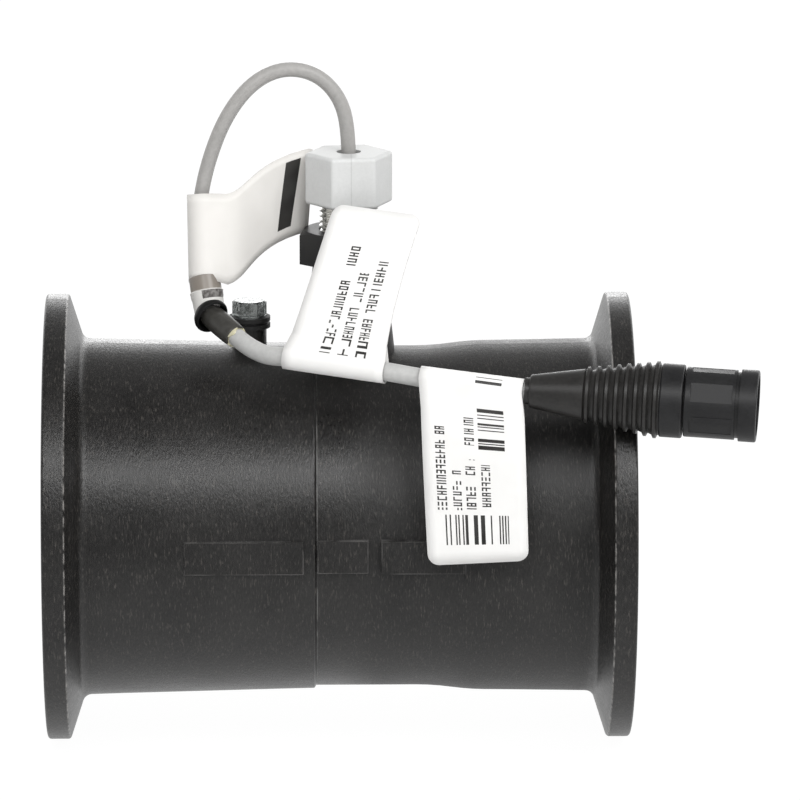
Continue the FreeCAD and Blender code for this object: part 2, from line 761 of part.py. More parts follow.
def connector_shell():
    return on_connector(turned([
        (BOOT_LENGTH, 0),
        (BOOT_LENGTH, SHELL_COLLAR_R, 0.5),
        (COLLAR_FRONT, SHELL_COLLAR_R, 0.5),
        (COLLAR_FRONT, SHELL_NECK_R),
        (SHELL_STOP[0], SHELL_NECK_R),
        (SHELL_STOP[0], SHELL_STOP_R),
        (SHELL_STOP[1], SHELL_STOP_R),
        (SHELL_STOP[1], SHELL_NECK_R),
        (SHELL_FRONT, SHELL_NECK_R),
        (SHELL_FRONT, SOCKET_R),
        (SOCKET_FLOOR, SOCKET_R),
        (SOCKET_FLOOR, 0),
    ]))


def ring_panels():
    """Shallow flats between raised lands on the coupling ring's outside."""
    pockets = []
    for index in range(RING_PANEL_COUNT):
        pocket = Part.makeBox(
            RING_PANEL[1] - RING_PANEL[0],
            RING_PANEL_WIDTH,
            3.0,
            Vector(RING_PANEL[0], -RING_PANEL_WIDTH / 2, RING_R - RING_PANEL_DEPTH),
        )
        pocket.rotate(Vector(0, 0, 0), Vector(1, 0, 0), index * 360 / RING_PANEL_COUNT)
        pockets.append(pocket)
    return pockets


def coupling_ring():
    sleeve = turned([
        (RING_BACK, RING_LIP_R),
        (RING_BACK, RING_R, 0.4),
        (RING_GROOVE[0], RING_R),
        (RING_GROOVE[0], RING_GROOVE_R),
        (RING_GROOVE[1], RING_GROOVE_R),
        (RING_GROOVE[1], RING_FRONT_R),
        (RING_FRONT, RING_FRONT_R, 0.5),
        (RING_FRONT, RING_INNER_R),
        (RING_LIP_END, RING_INNER_R),
        (RING_LIP_END, RING_LIP_R),
    ])
    bar = Part.makeBox(
        RING_BAR[1] - RING_BAR[0],
        RING_BAR_R,
        RING_BAR_WIDTH,
        Vector(RING_BAR[0], -RING_BAR_R, -RING_BAR_WIDTH / 2),
    )
    bar.rotate(Vector(0, 0, 0), Vector(1, 0, 0), RING_BAR_TURN)
    bar = bar.cut(disc(0, RING_FRONT, RING_INNER_R + 0.2))
    return on_connector(sleeve.cut(ring_panels()).fuse(bar).removeSplitter())


def pins(foot, tip, radius):
    posts = []
    for index in range(PIN_COUNT):
        angle = math.radians(90 + index * 360 / PIN_COUNT)
        pin = disc(foot, tip, radius)
        pin.translate(Vector(0, PIN_CIRCLE_R * math.cos(angle), PIN_CIRCLE_R * math.sin(angle)))
        posts.append(pin)
    return posts


def connector_insert():
    holes = pins(PIN_FOOT, INSERT_FRONT + 1, PIN_R)
    return on_connector(disc(SOCKET_FLOOR, INSERT_FRONT, SOCKET_R).cut(holes))


def contact_pins():
    return on_connector(Part.makeCompound(pins(PIN_FOOT, PIN_TIP, PIN_R)))


def build():
    return {
        "meter_body": meter_body(),
        "sensor_barrel": sensor_barrel(),
        "sensor_head": sensor_head(),
        "jam_nut": jam_nut(),
        "retaining_screw": retaining_screw(),
        "screw_seal_collar": screw_seal_collar(),
        "inlet_hub": inlet_hub(),
        "outlet_hub": outlet_hub(),
        "hub_stud": hub_stud(),
        "stud_lock_nut": stud_lock_nut(),
        "inlet_bushing": bushing(STUD_X[1] - BUSHING_LENGTH),
        "outlet_bushing": bushing(OUTLET_CORE_X[0]),
        "turbine_rotor": turbine_rotor(),
        "rotor_magnets": rotor_magnets(),
        "rotor_shaft": disc(SHAFT_X[0], SHAFT_X[1], SHAFT_R),
        "snap_ring": snap_ring(),
        "sensor_cable": cable("sensor_cable", SENSOR_CABLE_ROUTE, SENSOR_CABLE_D),
        "splice_sleeve": splice_sleeve(),
        "heat_shrink": heat_shrink(),
        "harness_cable": cable("harness_cable", HARNESS_CABLE_ROUTE, HARNESS_CABLE_D),
        "flag_label_upper": flag_label_upper(),
        "flag_label_middle": flag_label_middle(),
        "flag_label_lower": flag_label_lower(),
        "connector_boot": connector_boot(),
        "connector_shell": connector_shell(),
        "coupling_ring": coupling_ring(),
        "connector_insert": connector_insert(),
        "contact_pins": contact_pins(),
    }


os.makedirs("parts", exist_ok=True)
for node, shape in build().items():
    print(node, "valid", shape.isValid(), "solids", len(shape.Solids), "volume", round(shape.Volume, 1))
    shape.exportStep("parts/" + node + ".step")
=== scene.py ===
# %% [markdown]
# # A flanged turbine flow meter with its sensor, cables and connector
#
# The part's exact solids come from the CAD model as a fixed frame. This lesson dresses them: it sets
# the camera, lays the cables, models what a solid shows too plainly, and gives every surface a
# procedural finish. All lengths are in metres, in the CAD model's own frame.

# %% Load the frame
import math

import bmesh
import bpy
from mathutils import Matrix, Vector


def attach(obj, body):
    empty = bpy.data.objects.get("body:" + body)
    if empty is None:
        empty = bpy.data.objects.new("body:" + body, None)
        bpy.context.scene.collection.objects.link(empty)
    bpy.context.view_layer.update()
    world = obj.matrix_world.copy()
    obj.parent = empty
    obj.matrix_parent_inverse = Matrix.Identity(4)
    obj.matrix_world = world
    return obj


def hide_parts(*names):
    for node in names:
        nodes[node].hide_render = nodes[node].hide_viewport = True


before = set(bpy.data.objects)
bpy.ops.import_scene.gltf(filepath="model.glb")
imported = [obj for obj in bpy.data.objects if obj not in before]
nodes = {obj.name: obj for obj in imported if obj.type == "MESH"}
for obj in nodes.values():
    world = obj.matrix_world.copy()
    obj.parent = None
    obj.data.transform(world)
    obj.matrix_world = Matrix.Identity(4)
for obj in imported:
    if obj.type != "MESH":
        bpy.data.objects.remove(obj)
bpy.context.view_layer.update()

MM = 0.001


def millimetres(*values):
    """A point written in millimetres, as a vector in metres."""
    return Vector(values) * MM


# %% [markdown]
# ## Camera
#
# The picture looks almost square on at the body from a little above, and parallel edges hardly
# converge, so the lens is long and the camera stands far away. Placing it by the point it looks at
# and a direction keeps the numbers easy to read. The lens follows from the measured width of the
# picture at the body's axis.

# %% Place the camera
LOOK_AT = millimetres(95.109, 6.692, 30.254)
TOWARDS_CAMERA = Vector((-0.01701, -0.97422, 0.22495))
CAMERA_DISTANCE = 1.889
SENSOR_WIDTH = 36.0
LENS = 314.8

camera_data = bpy.data.cameras.new("photo_camera")
camera_data.sensor_width = SENSOR_WIDTH
camera_data.lens = LENS
camera_data.clip_end = 20.0
camera = bpy.data.objects.new("photo_camera", camera_data)
camera.location = LOOK_AT + TOWARDS_CAMERA * CAMERA_DISTANCE
camera.rotation_euler = (-TOWARDS_CAMERA).to_track_quat("-Z", "Y").to_euler()
bpy.context.scene.collection.objects.link(camera)
bpy.context.scene.camera = camera
print("camera at", [round(value, 3) for value in camera.location])

# %% [markdown]
# ## Cables
#
# Two round cables leave the parts: a thin one from the sensor to the splice, and a thicker one from
# the splice to the connector. A NURBS curve with a round bevel is the simplest true cable, because
# its control points are the same few points that steer the CAD tube, and it stays smooth between
# them. The points come first, the order and end clamping after them.

# %% The two cable curves
SENSOR_CABLE_D = 0.0039
SENSOR_CABLE_ROUTE = [
    (81.3, 0, 95.9),
    (81.3, 0, 107.0),
    (78.3, -0.9, 116.0),
    (71.9, -1.6, 121.8),
    (63.4, -2.3, 123.0),
    (55.3, -2.9, 119.0),
    (48.4, -3.4, 110.0),
    (43.7, -3.9, 97.8),
    (41.3, -5.2, 86.2),
    (41.2, -7.6, 76.5),
    (42.6, -10.8, 68.3),
]
HARNESS_CABLE_D = 0.0050
HARNESS_CABLE_ROUTE = [
    (51.2, -22.5, 54.3),
    (56.81, -28.9, 50.8),
    (65.6, -33.9, 51.3),
    (78.0, -37.9, 50.6),
    (91.5, -42.0, 49.0),
    (105.5, -46.1, 47.3),
    (117.5, -48.7, 46.1),
    (128.1, -50.0, 45.6),
]


def smooth_curve(name, route, diameter):
    """Open NURBS curve through a clamped run of control points, with a round section."""
    data = bpy.data.curves.new(name, "CURVE")
    data.dimensions = "3D"
    data.resolution_u = 14
    data.bevel_resolution = 7
    data.bevel_depth = diameter / 2
    data.use_fill_caps = True
    spline = data.splines.new("NURBS")
    spline.points.add(len(route) - 1)
    for control, place in zip(spline.points, route):
        control.co = (*millimetres(*place), 1.0)
    spline.order_u = 3
    spline.use_endpoint_u = True
    curve = bpy.data.objects.new(name, data)
    bpy.context.scene.collection.objects.link(curve)
    return curve


sensor_lead = smooth_curve("sensor_lead", SENSOR_CABLE_ROUTE, SENSOR_CABLE_D)
harness_lead = smooth_curve("harness_lead", HARNESS_CABLE_ROUTE, HARNESS_CABLE_D)
print("cables", sensor_lead.name, harness_lead.name)

# %% [markdown]
# ## Small helpers for finishes
#
# Every finish below is a node tree. Four helpers keep the trees short: one adds a node and sets or
# links its inputs, one adds a piece of arithmetic, one moves a value from one range to another, and
# one starts a shared node group with named sockets.

# %% Node helpers
def add_node(tree, kind, settings=None, values=None):
    """Add a node; settings are its own options, values go to its inputs by name or number."""
    made = tree.nodes.new(kind)
    for name, value in (settings or {}).items():
        setattr(made, name, value)
    for key, value in (values or {}).items():
        if isinstance(value, bpy.types.NodeSocket):
            tree.links.new(value, made.inputs[key])
        else:
            made.inputs[key].default_value = value
    return made


def arithmetic(tree, operation, *values):
    """The result of a Math node."""
    numbered = dict(enumerate(values))
    return add_node(tree, "ShaderNodeMath", {"operation": operation}, numbered).outputs[0]


def rescale(tree, value, low, high, to_low, to_high, interpolation="LINEAR"):
    """Value moved from one range to another, kept inside it."""
    return add_node(tree, "ShaderNodeMapRange", {"interpolation_type": interpolation},
                    {"Value": value, "From Min": low, "From Max": high,
                     "To Min": to_low, "To Max": to_high}).outputs[0]


def new_group(name, inputs, outputs):
    """An empty shader group with named sockets, its entrance node and its exit node."""
    group = bpy.data.node_groups.new(name, "ShaderNodeTree")
    for label, kind, default in inputs:
        socket = group.interface.new_socket(label, in_out="INPUT", socket_type=kind)
        socket.default_value = default
    for label, kind in outputs:
        group.interface.new_socket(label, in_out="OUTPUT", socket_type=kind)
    entrance = group.nodes.new("NodeGroupInput")
    leave = group.nodes.new("NodeGroupOutput")
    return group, entrance.outputs, leave


VECTOR = "NodeSocketVector"
FLOAT = "NodeSocketFloat"
print("helpers ready")

# %% [markdown]
# ## Shared effects
#
# Moulded plastic is never one even tone: it has a fine grain that the mould left and broad, faint
# patches where the melt flowed. Both are noise, at two sizes, so one group gives both. A stretch
# input turns the grain into the short streaks that run round the body.

# %% Grain group
grain_group, given, leave = new_group(
    "grain",
    [("Position", VECTOR, (0, 0, 0)), ("Grain Size", FLOAT, 0.0005), ("Patch Size", FLOAT, 0.012),
     ("Stretch", VECTOR, (1, 1, 1))],
    [("Grain", FLOAT), ("Patches", FLOAT)],
)
stretched = add_node(grain_group, "ShaderNodeVectorMath", {"operation": "MULTIPLY"},
                     {0: given["Position"], 1: given["Stretch"]}).outputs[0]
fine = add_node(grain_group, "ShaderNodeTexNoise", None,
                {"Vector": stretched,
                 "Scale": arithmetic(grain_group, "DIVIDE", 1.0, given["Grain Size"]),
                 "Detail": 4.0, "Roughness": 0.6})
broad = add_node(grain_group, "ShaderNodeTexNoise", None,
                 {"Vector": given["Position"],
                  "Scale": arithmetic(grain_group, "DIVIDE", 1.0, given["Patch Size"]),
                  "Detail": 3.0, "Roughness": 0.55})
grain_group.links.new(fine.outputs["Fac"], leave.inputs["Grain"])
grain_group.links.new(broad.outputs["Fac"], leave.inputs["Patches"])
print("group", grain_group.name)

# %% [markdown]
# Sharp edges catch the light in a thin broken line, and here that line is a painted highlight. The
# body's edges are rings round its axis, so the painted highlight is a thin band at one distance along
# the axis, broken up by noise.

# %% Painted edge highlight group
edge_highlight_group, given, leave = new_group(
    "painted_edge_highlight",
    [("Along", FLOAT, 0.0), ("Place", FLOAT, 0.0), ("Width", FLOAT, 0.0003), ("Position", VECTOR, (0, 0, 0)),
     ("Speckle Size", FLOAT, 0.0008)],
    [("Highlight", FLOAT)],
)
offset = arithmetic(edge_highlight_group, "ABSOLUTE",
                    arithmetic(edge_highlight_group, "SUBTRACT", given["Along"], given["Place"]))
# Painted highlight: this band stands for a sharp edge catching the light.
band = rescale(edge_highlight_group, offset, 0.0, given["Width"], 1.0, 0.0, "SMOOTHSTEP")
speckle = add_node(edge_highlight_group, "ShaderNodeTexNoise", None,
                   {"Vector": given["Position"],
                    "Scale": arithmetic(edge_highlight_group, "DIVIDE", 1.0, given["Speckle Size"]), "Detail": 3.0})
broken = rescale(edge_highlight_group, speckle.outputs["Fac"], 0.38, 0.62, 0.0, 1.0)
edge_highlight_group.links.new(arithmetic(edge_highlight_group, "MULTIPLY", band, broken), leave.inputs["Highlight"])
print("group", edge_highlight_group.name)

# %% [markdown]
# ## Printed marks
#
# The labels carry small print. What it says doesn't matter here, so it is generic: rows of random
# strokes, blocks of stripes of uneven width, and a plain block. All read the label's own UV map,
# where U runs along the strip and V across it, both from 0 to 1, so the marks bend with the film.
# A row is divided into cells, and chance decides for each cell which upright and level strokes it
# gets and which cells stay empty, so a row looks like small type but says nothing.

# %% Print groups
def window(group, coordinate, low, high):
    """One inside the span from low to high, else zero."""
    above = arithmetic(group, "GREATER_THAN", coordinate, low)
    below = arithmetic(group, "LESS_THAN", coordinate, high)
    return arithmetic(group, "MULTIPLY", above, below)


def start_print_group(name, extra):
    """A print group with the rectangle that its marks fill, and the UV's two parts."""
    group, given, leave = new_group(
        name,
        [("UV", VECTOR, (0, 0, 0)), ("Left", FLOAT, 0.0), ("Right", FLOAT, 1.0), ("Low", FLOAT, 0.0),
         ("High", FLOAT, 1.0), ("Slant", FLOAT, 0.0)] + extra,
        [("Ink", FLOAT)],
    )
    parts = add_node(group, "ShaderNodeSeparateXYZ", None, {0: given["UV"]})
    lean = arithmetic(group, "MULTIPLY", given["Slant"], arithmetic(group, "SUBTRACT", parts.outputs[1], 0.5))
    upright = arithmetic(group, "SUBTRACT", parts.outputs[0], lean)
    inside = arithmetic(group, "MULTIPLY", window(group, upright, given["Left"], given["Right"]),
                        window(group, parts.outputs[1], given["Low"], given["High"]))
    return group, given, leave, parts.outputs, inside


block_group, given, leave, parts, inside = start_print_group("print_block", [])
block_group.links.new(inside, leave.inputs["Ink"])

PALE_CHANCE = 0.52
stripes_group, given, leave, parts, inside = start_print_group("print_stripes", [("Count", FLOAT, 60.0)])
cell = arithmetic(stripes_group, "FLOOR", arithmetic(stripes_group, "MULTIPLY", parts[0], given["Count"]))
chance = add_node(stripes_group, "ShaderNodeTexWhiteNoise", {"noise_dimensions": "1D"}, {"W": cell})
dark = arithmetic(stripes_group, "GREATER_THAN", chance.outputs["Value"], PALE_CHANCE)
stripes_group.links.new(arithmetic(stripes_group, "MULTIPLY", inside, dark), leave.inputs["Ink"])
print("groups", block_group.name, stripes_group.name)

# %% Small type group
STROKES = [
    ((0.02, 0.26), (0.0, 1.0), 0.25),
    ((0.50, 0.74), (0.0, 1.0), 0.45),
    ((0.02, 0.74), (0.82, 1.0), 0.50),
    ((0.02, 0.74), (0.41, 0.59), 0.45),
    ((0.02, 0.74), (0.0, 0.18), 0.55),
]
EMPTY_CHANCE = 0.13
SEED_STEP = 17.3

strokes_group, given, leave, parts, inside = start_print_group("print_strokes", [("Marks", FLOAT, 60.0)])
along = arithmetic(strokes_group, "MULTIPLY", parts[0], given["Marks"])
cell = arithmetic(strokes_group, "FLOOR", along)
within = arithmetic(strokes_group, "FRACT", along)
height = arithmetic(strokes_group, "DIVIDE", arithmetic(strokes_group, "SUBTRACT", parts[1], given["Low"]),
                    arithmetic(strokes_group, "SUBTRACT", given["High"], given["Low"]))


def drawn(number, chance_of_none):
    """One where chance draws this stroke of a cell, else zero; each row has its own luck."""
    seed_x = arithmetic(strokes_group, "ADD", cell, number * SEED_STEP)
    seed = add_node(strokes_group, "ShaderNodeCombineXYZ", None, {0: seed_x, 1: given["Low"]}).outputs[0]
    luck = add_node(strokes_group, "ShaderNodeTexWhiteNoise", {"noise_dimensions": "2D"}, {"Vector": seed})
    return arithmetic(strokes_group, "GREATER_THAN", luck.outputs["Value"], chance_of_none)


ink = 0.0
for number, (span, rise, chance_of_none) in enumerate(STROKES):
    bar = arithmetic(strokes_group, "MULTIPLY", window(strokes_group, within, *span),
                     window(strokes_group, height, *rise))
    bar = arithmetic(strokes_group, "MULTIPLY", bar, drawn(number, chance_of_none))
    ink = arithmetic(strokes_group, "MAXIMUM", bar, ink)
spaced = drawn(len(STROKES), EMPTY_CHANCE)
ink = arithmetic(strokes_group, "MULTIPLY", arithmetic(strokes_group, "MULTIPLY", ink, spaced), inside)
strokes_group.links.new(ink, leave.inputs["Ink"])
print("group", strokes_group.name, "strokes", len(STROKES))

# %% [markdown]
# ## Finishes
#
# One function builds a moulded or painted finish: a base colour that wanders between two tones with
# the patches and the grain, a roughness that wanders too, and a bump from the grain. Each material
# then gives only its own numbers, so the differences between the plastics are easy to see. Where a
# surface needs more, two small functions find the coordinates that its finish reads and lay another
# tone over its colour.

# %% The finish function
def use_group(tree, group, values):
    """Place a shared group in a material and set or link its inputs."""
    return add_node(tree, "ShaderNodeGroup", {"node_tree": group}, values)


FINISH_SUFFIX = "_finish"


def start_material(slot):
    """A finish for one of the record's slots, its tree, its Principled node and object coordinates."""
    material = bpy.data.materials.new(slot + FINISH_SUFFIX)
    material.use_nodes = True
    tree = material.node_tree
    shader = tree.nodes["Principled BSDF"]
    position = tree.nodes.new("ShaderNodeTexCoord").outputs["Object"]
    return material, tree, shader, position


def blend_colours(tree, share, first, second):
    """Colour between two tones, by a share from 0 to 1."""
    mix = add_node(tree, "ShaderNodeMix", {"data_type": "RGBA"}, {0: share})
    for socket, colour in ((mix.inputs[6], first), (mix.inputs[7], second)):
        if isinstance(colour, bpy.types.NodeSocket):
            tree.links.new(colour, socket)
        else:
            socket.default_value = (*colour, 1.0)
    return mix.outputs[2]


def moulded(name, dark, light, roughness, grain_size=0.0005, patch_size=0.012, stretch=(1, 1, 1),
            bump=0.1, bump_depth=0.00003, metallic=0.0, specular=0.5):
    """A finish with two tones, wandering roughness and a grain bump."""
    material, tree, shader, position = start_material(name)
    grain = use_group(tree, grain_group, {"Position": position, "Grain Size": grain_size,
                                          "Patch Size": patch_size, "Stretch": stretch})
    patches = rescale(tree, grain.outputs["Patches"], 0.3, 0.7, 0.0, 1.0)
    specks = rescale(tree, grain.outputs["Grain"], 0.35, 0.7, 0.0, 1.0)
    share = arithmetic(tree, "ADD", arithmetic(tree, "MULTIPLY", patches, 0.45),
                       arithmetic(tree, "MULTIPLY", specks, 0.55))
    tree.links.new(blend_colours(tree, share, dark, light), shader.inputs["Base Color"])
    tree.links.new(rescale(tree, share, 0.0, 1.0, roughness[0], roughness[1]), shader.inputs["Roughness"])
    height = add_node(tree, "ShaderNodeBump", None,
                      {"Strength": bump, "Distance": bump_depth, "Height": grain.outputs["Grain"]})
    tree.links.new(height.outputs[0], shader.inputs["Normal"])
    shader.inputs["Metallic"].default_value = metallic
    shader.inputs["Specular IOR Level"].default_value = specular
    return material


def coordinates(material, kind="Object"):
    """The coordinates that a finish already reads, as places or as normals."""
    reader = next(node for node in material.node_tree.nodes if node.type == "TEX_COORD")
    return reader.outputs[kind]


def lay_over(material, share, tone):
    """Lay a tone over the colour of a finish, by a share from 0 to 1."""
    tree = material.node_tree
    colour = tree.nodes["Principled BSDF"].inputs["Base Color"]
    tree.links.new(blend_colours(tree, share, colour.links[0].from_socket, tone), colour)


# %% [markdown]
# The body is glass-filled polypropylene: near black, half matt, with short streaks that run round
# it, broad greyer clouds and pale flecks of fibre. The edges of its rims and the lip of its seam get a
# painted highlight, a thin pale broken line where they catch the light, kept to the outside and off
# everything near the axis. Flecks and painted highlights lie on top of the plain finish, because only
# this piece has them.

# %% Body finish
RIM_EDGE_X = (0.0060, 0.1505)
SEAM_LIP_X = 0.0724
OUTSIDE_R = 0.038
FLECK_TONE = (0.054, 0.049, 0.044)
RIM_HIGHLIGHT_TONE = (0.22, 0.21, 0.20)
SEAM_HIGHLIGHT_TONE = (0.10, 0.098, 0.095)
body_black = moulded("body_black", (0.0022, 0.0020, 0.0019), (0.0185, 0.0174, 0.0164), (0.27, 0.41),
                     grain_size=0.0007, patch_size=0.014, stretch=(1.9, 0.6, 0.6),
                     bump=0.9, bump_depth=0.00014, specular=0.55)
body_tree = body_black.node_tree
body_place = coordinates(body_black)
body_x, body_y, body_z = add_node(body_tree, "ShaderNodeSeparateXYZ", None, {0: body_place}).outputs
y_squared, z_squared = [arithmetic(body_tree, "MULTIPLY", part, part) for part in (body_y, body_z)]
axis_distance = arithmetic(body_tree, "SQRT", arithmetic(body_tree, "ADD", y_squared, z_squared))
outside = arithmetic(body_tree, "GREATER_THAN", axis_distance, OUTSIDE_R)
fleck_grain = use_group(body_tree, grain_group, {"Position": body_place, "Grain Size": 0.0010,
                                                 "Patch Size": 0.02, "Stretch": (2.4, 0.5, 0.5)})
lay_over(body_black, rescale(body_tree, fleck_grain.outputs["Grain"], 0.56, 0.70, 0.0, 0.8), FLECK_TONE)


def add_painted_highlight(distance, place, width, tone, speckle, where):
    """Lay a pale painted highlight over the body where a distance is near a place."""
    highlight_share = use_group(body_tree, edge_highlight_group, {"Along": distance, "Place": place, "Width": width,
                                             "Position": body_place, "Speckle Size": speckle}).outputs[0]
    lay_over(body_black, arithmetic(body_tree, "MULTIPLY", highlight_share, where), tone)


# Painted highlight: a thin pale broken line where each rim's edge catches the light.
for rim_x in RIM_EDGE_X:
    add_painted_highlight(body_x, rim_x, 0.0003, RIM_HIGHLIGHT_TONE, 0.002, outside)
# Painted highlight: a pale line along the lip of the seam, where it catches the light.
add_painted_highlight(body_x, SEAM_LIP_X, 0.00025, SEAM_HIGHLIGHT_TONE, 0.006, outside)
print("finish", body_black.name)

# %% [markdown]
# The edges of the raised pads get a painted highlight too: a pale line where their sharp edges catch
# the light. The distance to a pad's outline is the larger of how far a point lies outside it along X
# and along Z, and the painted highlight follows where that is zero. The half behind the seam came out
# of a rougher mould, so its highlight is wider and dimmer.

# %% Pad edges and the duller half
PAD_PLACES = ((0.0530, 0.0157), (0.07915, 0.00665), (0.10045, 0.01105))
PAD_HALF_HEIGHT = 0.0044
PAD_HIGHLIGHT_TONE = (0.075, 0.072, 0.07)
FRONT_Y = -0.04
DULL_START_X, DULL_FULL_X = 0.079, 0.088
DULL_FADE_X, DULL_END_X = 0.143, 0.147
DULL_EXTRA = 0.13

in_front = arithmetic(body_tree, "LESS_THAN", body_y, FRONT_Y)
beyond_height = arithmetic(body_tree, "SUBTRACT", arithmetic(body_tree, "ABSOLUTE", body_z), PAD_HALF_HEIGHT)
for middle_x, half_length in PAD_PLACES:
    from_middle = arithmetic(body_tree, "ABSOLUTE", arithmetic(body_tree, "SUBTRACT", body_x, middle_x))
    beyond_length = arithmetic(body_tree, "SUBTRACT", from_middle, half_length)
    outline = arithmetic(body_tree, "MAXIMUM", beyond_length, beyond_height)
    # Painted highlight: a pale line round each pad, where its sharp edge catches the light.
    add_painted_highlight(outline, 0.0, 0.0003, PAD_HIGHLIGHT_TONE, 0.008, in_front)

starts = rescale(body_tree, body_x, DULL_START_X, DULL_FULL_X, 0.0, DULL_EXTRA)
ends = rescale(body_tree, body_x, DULL_FADE_X, DULL_END_X, 1.0, 0.0)
body_roughness = body_tree.nodes["Principled BSDF"].inputs["Roughness"]
duller = arithmetic(body_tree, "ADD", body_roughness.links[0].from_socket,
                    arithmetic(body_tree, "MULTIPLY", starts, ends))
body_tree.links.new(duller, body_roughness)
print("pads", len(PAD_PLACES))

# %% Other moulded and rubber finishes
nut_black = moulded("nut_black", (0.008, 0.008, 0.008), (0.018, 0.018, 0.018), (0.38, 0.5), bump=0.2)
collar_black = moulded("collar_black", (0.006, 0.006, 0.006), (0.016, 0.015, 0.015), (0.5, 0.7), bump=0.4)
hub_plastic = moulded("hub_plastic", (0.018, 0.018, 0.019), (0.034, 0.034, 0.036), (0.42, 0.55), bump=0.2)
stud_plastic = moulded("stud_plastic", (0.40, 0.39, 0.36), (0.52, 0.51, 0.47), (0.4, 0.5), bump=0.1)
bushing_grey = moulded("bushing_grey", (0.12, 0.12, 0.13), (0.18, 0.18, 0.19), (0.35, 0.5), bump=0.1)
rotor_plastic = moulded("rotor_plastic", (0.34, 0.34, 0.33), (0.46, 0.46, 0.44), (0.35, 0.45), bump=0.1)
boot_black = moulded("boot_black", (0.010, 0.0095, 0.009), (0.024, 0.0225, 0.021), (0.34, 0.50),
                     grain_size=0.0009, patch_size=0.006, bump=0.5)
connector_black = moulded("connector_black", (0.007, 0.007, 0.0075), (0.017, 0.017, 0.018), (0.38, 0.52),
                          grain_size=0.0005, patch_size=0.006, bump=0.3, specular=0.4)
insert_black = moulded("insert_black", (0.010, 0.010, 0.010), (0.02, 0.02, 0.02), (0.4, 0.5), bump=0.15)
shrink_black = moulded("shrink_black", (0.028, 0.027, 0.024), (0.055, 0.053, 0.048), (0.34, 0.46),
                       grain_size=0.0012, patch_size=0.004, bump=0.25)
# The flare is the tube's own heat-shrink in a much darker copy of its finish: painted shade for its rim and
# recess.
flare_black_shaded = moulded("flare_black_shaded", (0.002, 0.002, 0.002), (0.006, 0.006, 0.006), (0.45, 0.6), specular=0.3)
print("finishes", len(bpy.data.materials))

# %% [markdown]
# The metals use the same function with the metal share at one. The retaining screw's zinc gets a
# painted shade where it faces up: a darker tone lies over it by the height of its normal.

# %% Metal finishes
ZINC_TOP_SHADE_TONE = (0.035, 0.04, 0.04)
magnet_metal = moulded("magnet_metal", (0.42, 0.42, 0.42), (0.58, 0.58, 0.57), (0.2, 0.35), metallic=1.0)
shaft_steel = moulded("shaft_steel", (0.52, 0.52, 0.51), (0.64, 0.64, 0.62), (0.18, 0.3),
                      stretch=(0.2, 2, 2), metallic=1.0)
zinc_steel = moulded("zinc_steel", (0.40, 0.43, 0.42), (0.72, 0.75, 0.74), (0.14, 0.28),
                     grain_size=0.0018, patch_size=0.0025, bump=0.8, bump_depth=0.00022, metallic=1.0)
sensor_metal = moulded("sensor_metal", (0.62, 0.62, 0.60), (0.80, 0.80, 0.78), (0.16, 0.28),
                       grain_size=0.0006, bump=0.15, metallic=1.0)
contact_gold = moulded("contact_gold", (0.62, 0.42, 0.14), (0.80, 0.58, 0.24), (0.16, 0.25), metallic=1.0)
zinc_tree = zinc_steel.node_tree
zinc_facing = coordinates(zinc_steel, "Normal")
zinc_up = add_node(zinc_tree, "ShaderNodeSeparateXYZ", None, {0: zinc_facing}).outputs[2]
# Painted shade: the faces of the screw that point up are darkened by the height of their normal.
lay_over(zinc_steel, rescale(zinc_tree, zinc_up, 0.2, 0.7, 0.0, 0.9), ZINC_TOP_SHADE_TONE)
print("metals", magnet_metal.name, zinc_steel.name)

# %% Cable finishes
thin_cable_grey = moulded("thin_cable_grey", (0.27, 0.265, 0.255), (0.34, 0.33, 0.32), (0.40, 0.52),
                          grain_size=0.0012, patch_size=0.010, bump=0.12)
thick_cable_grey = moulded("thick_cable_grey", (0.36, 0.36, 0.355), (0.44, 0.44, 0.43), (0.42, 0.55),
                           grain_size=0.0012, patch_size=0.010, bump=0.12)
for cable, node, finish in ((sensor_lead, "sensor_cable", thin_cable_grey),
                            (harness_lead, "harness_cable", thick_cable_grey)):
    cable.data.materials.append(finish)
    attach(cable, "housing")
    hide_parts(node)
print("cables finished")

# %% [markdown]
# The sensor's cap is a pale grey hexagon, moulded round the barrel. A hair line down the middle of a
# face shows where the mould closed. It is a thin darker line at one distance along X.

# %% Sensor cap finish
CAP_LINE_X = 0.0819
sensor_grey = moulded("sensor_grey", (0.50, 0.505, 0.50), (0.56, 0.565, 0.56), (0.42, 0.5),
                      grain_size=0.0008, patch_size=0.008, bump=0.08)
cap_tree = sensor_grey.node_tree
cap_along = add_node(cap_tree, "ShaderNodeSeparateXYZ", None, {0: coordinates(sensor_grey)}).outputs[0]
cap_offset = arithmetic(cap_tree, "ABSOLUTE", arithmetic(cap_tree, "SUBTRACT", cap_along, CAP_LINE_X))
cap_line = rescale(cap_tree, cap_offset, 0.00005, 0.00022, 0.82, 1.0)
cap_colour = cap_tree.nodes["Principled BSDF"].inputs["Base Color"]
cap_mix = add_node(cap_tree, "ShaderNodeMix", {"data_type": "RGBA", "blend_type": "MULTIPLY"}, {0: 1.0})
cap_tree.links.new(cap_colour.links[0].from_socket, cap_mix.inputs[6])
cap_tree.links.new(cap_line, cap_mix.inputs[7])
cap_tree.links.new(cap_mix.outputs[2], cap_colour)
print("finish", sensor_grey.name)

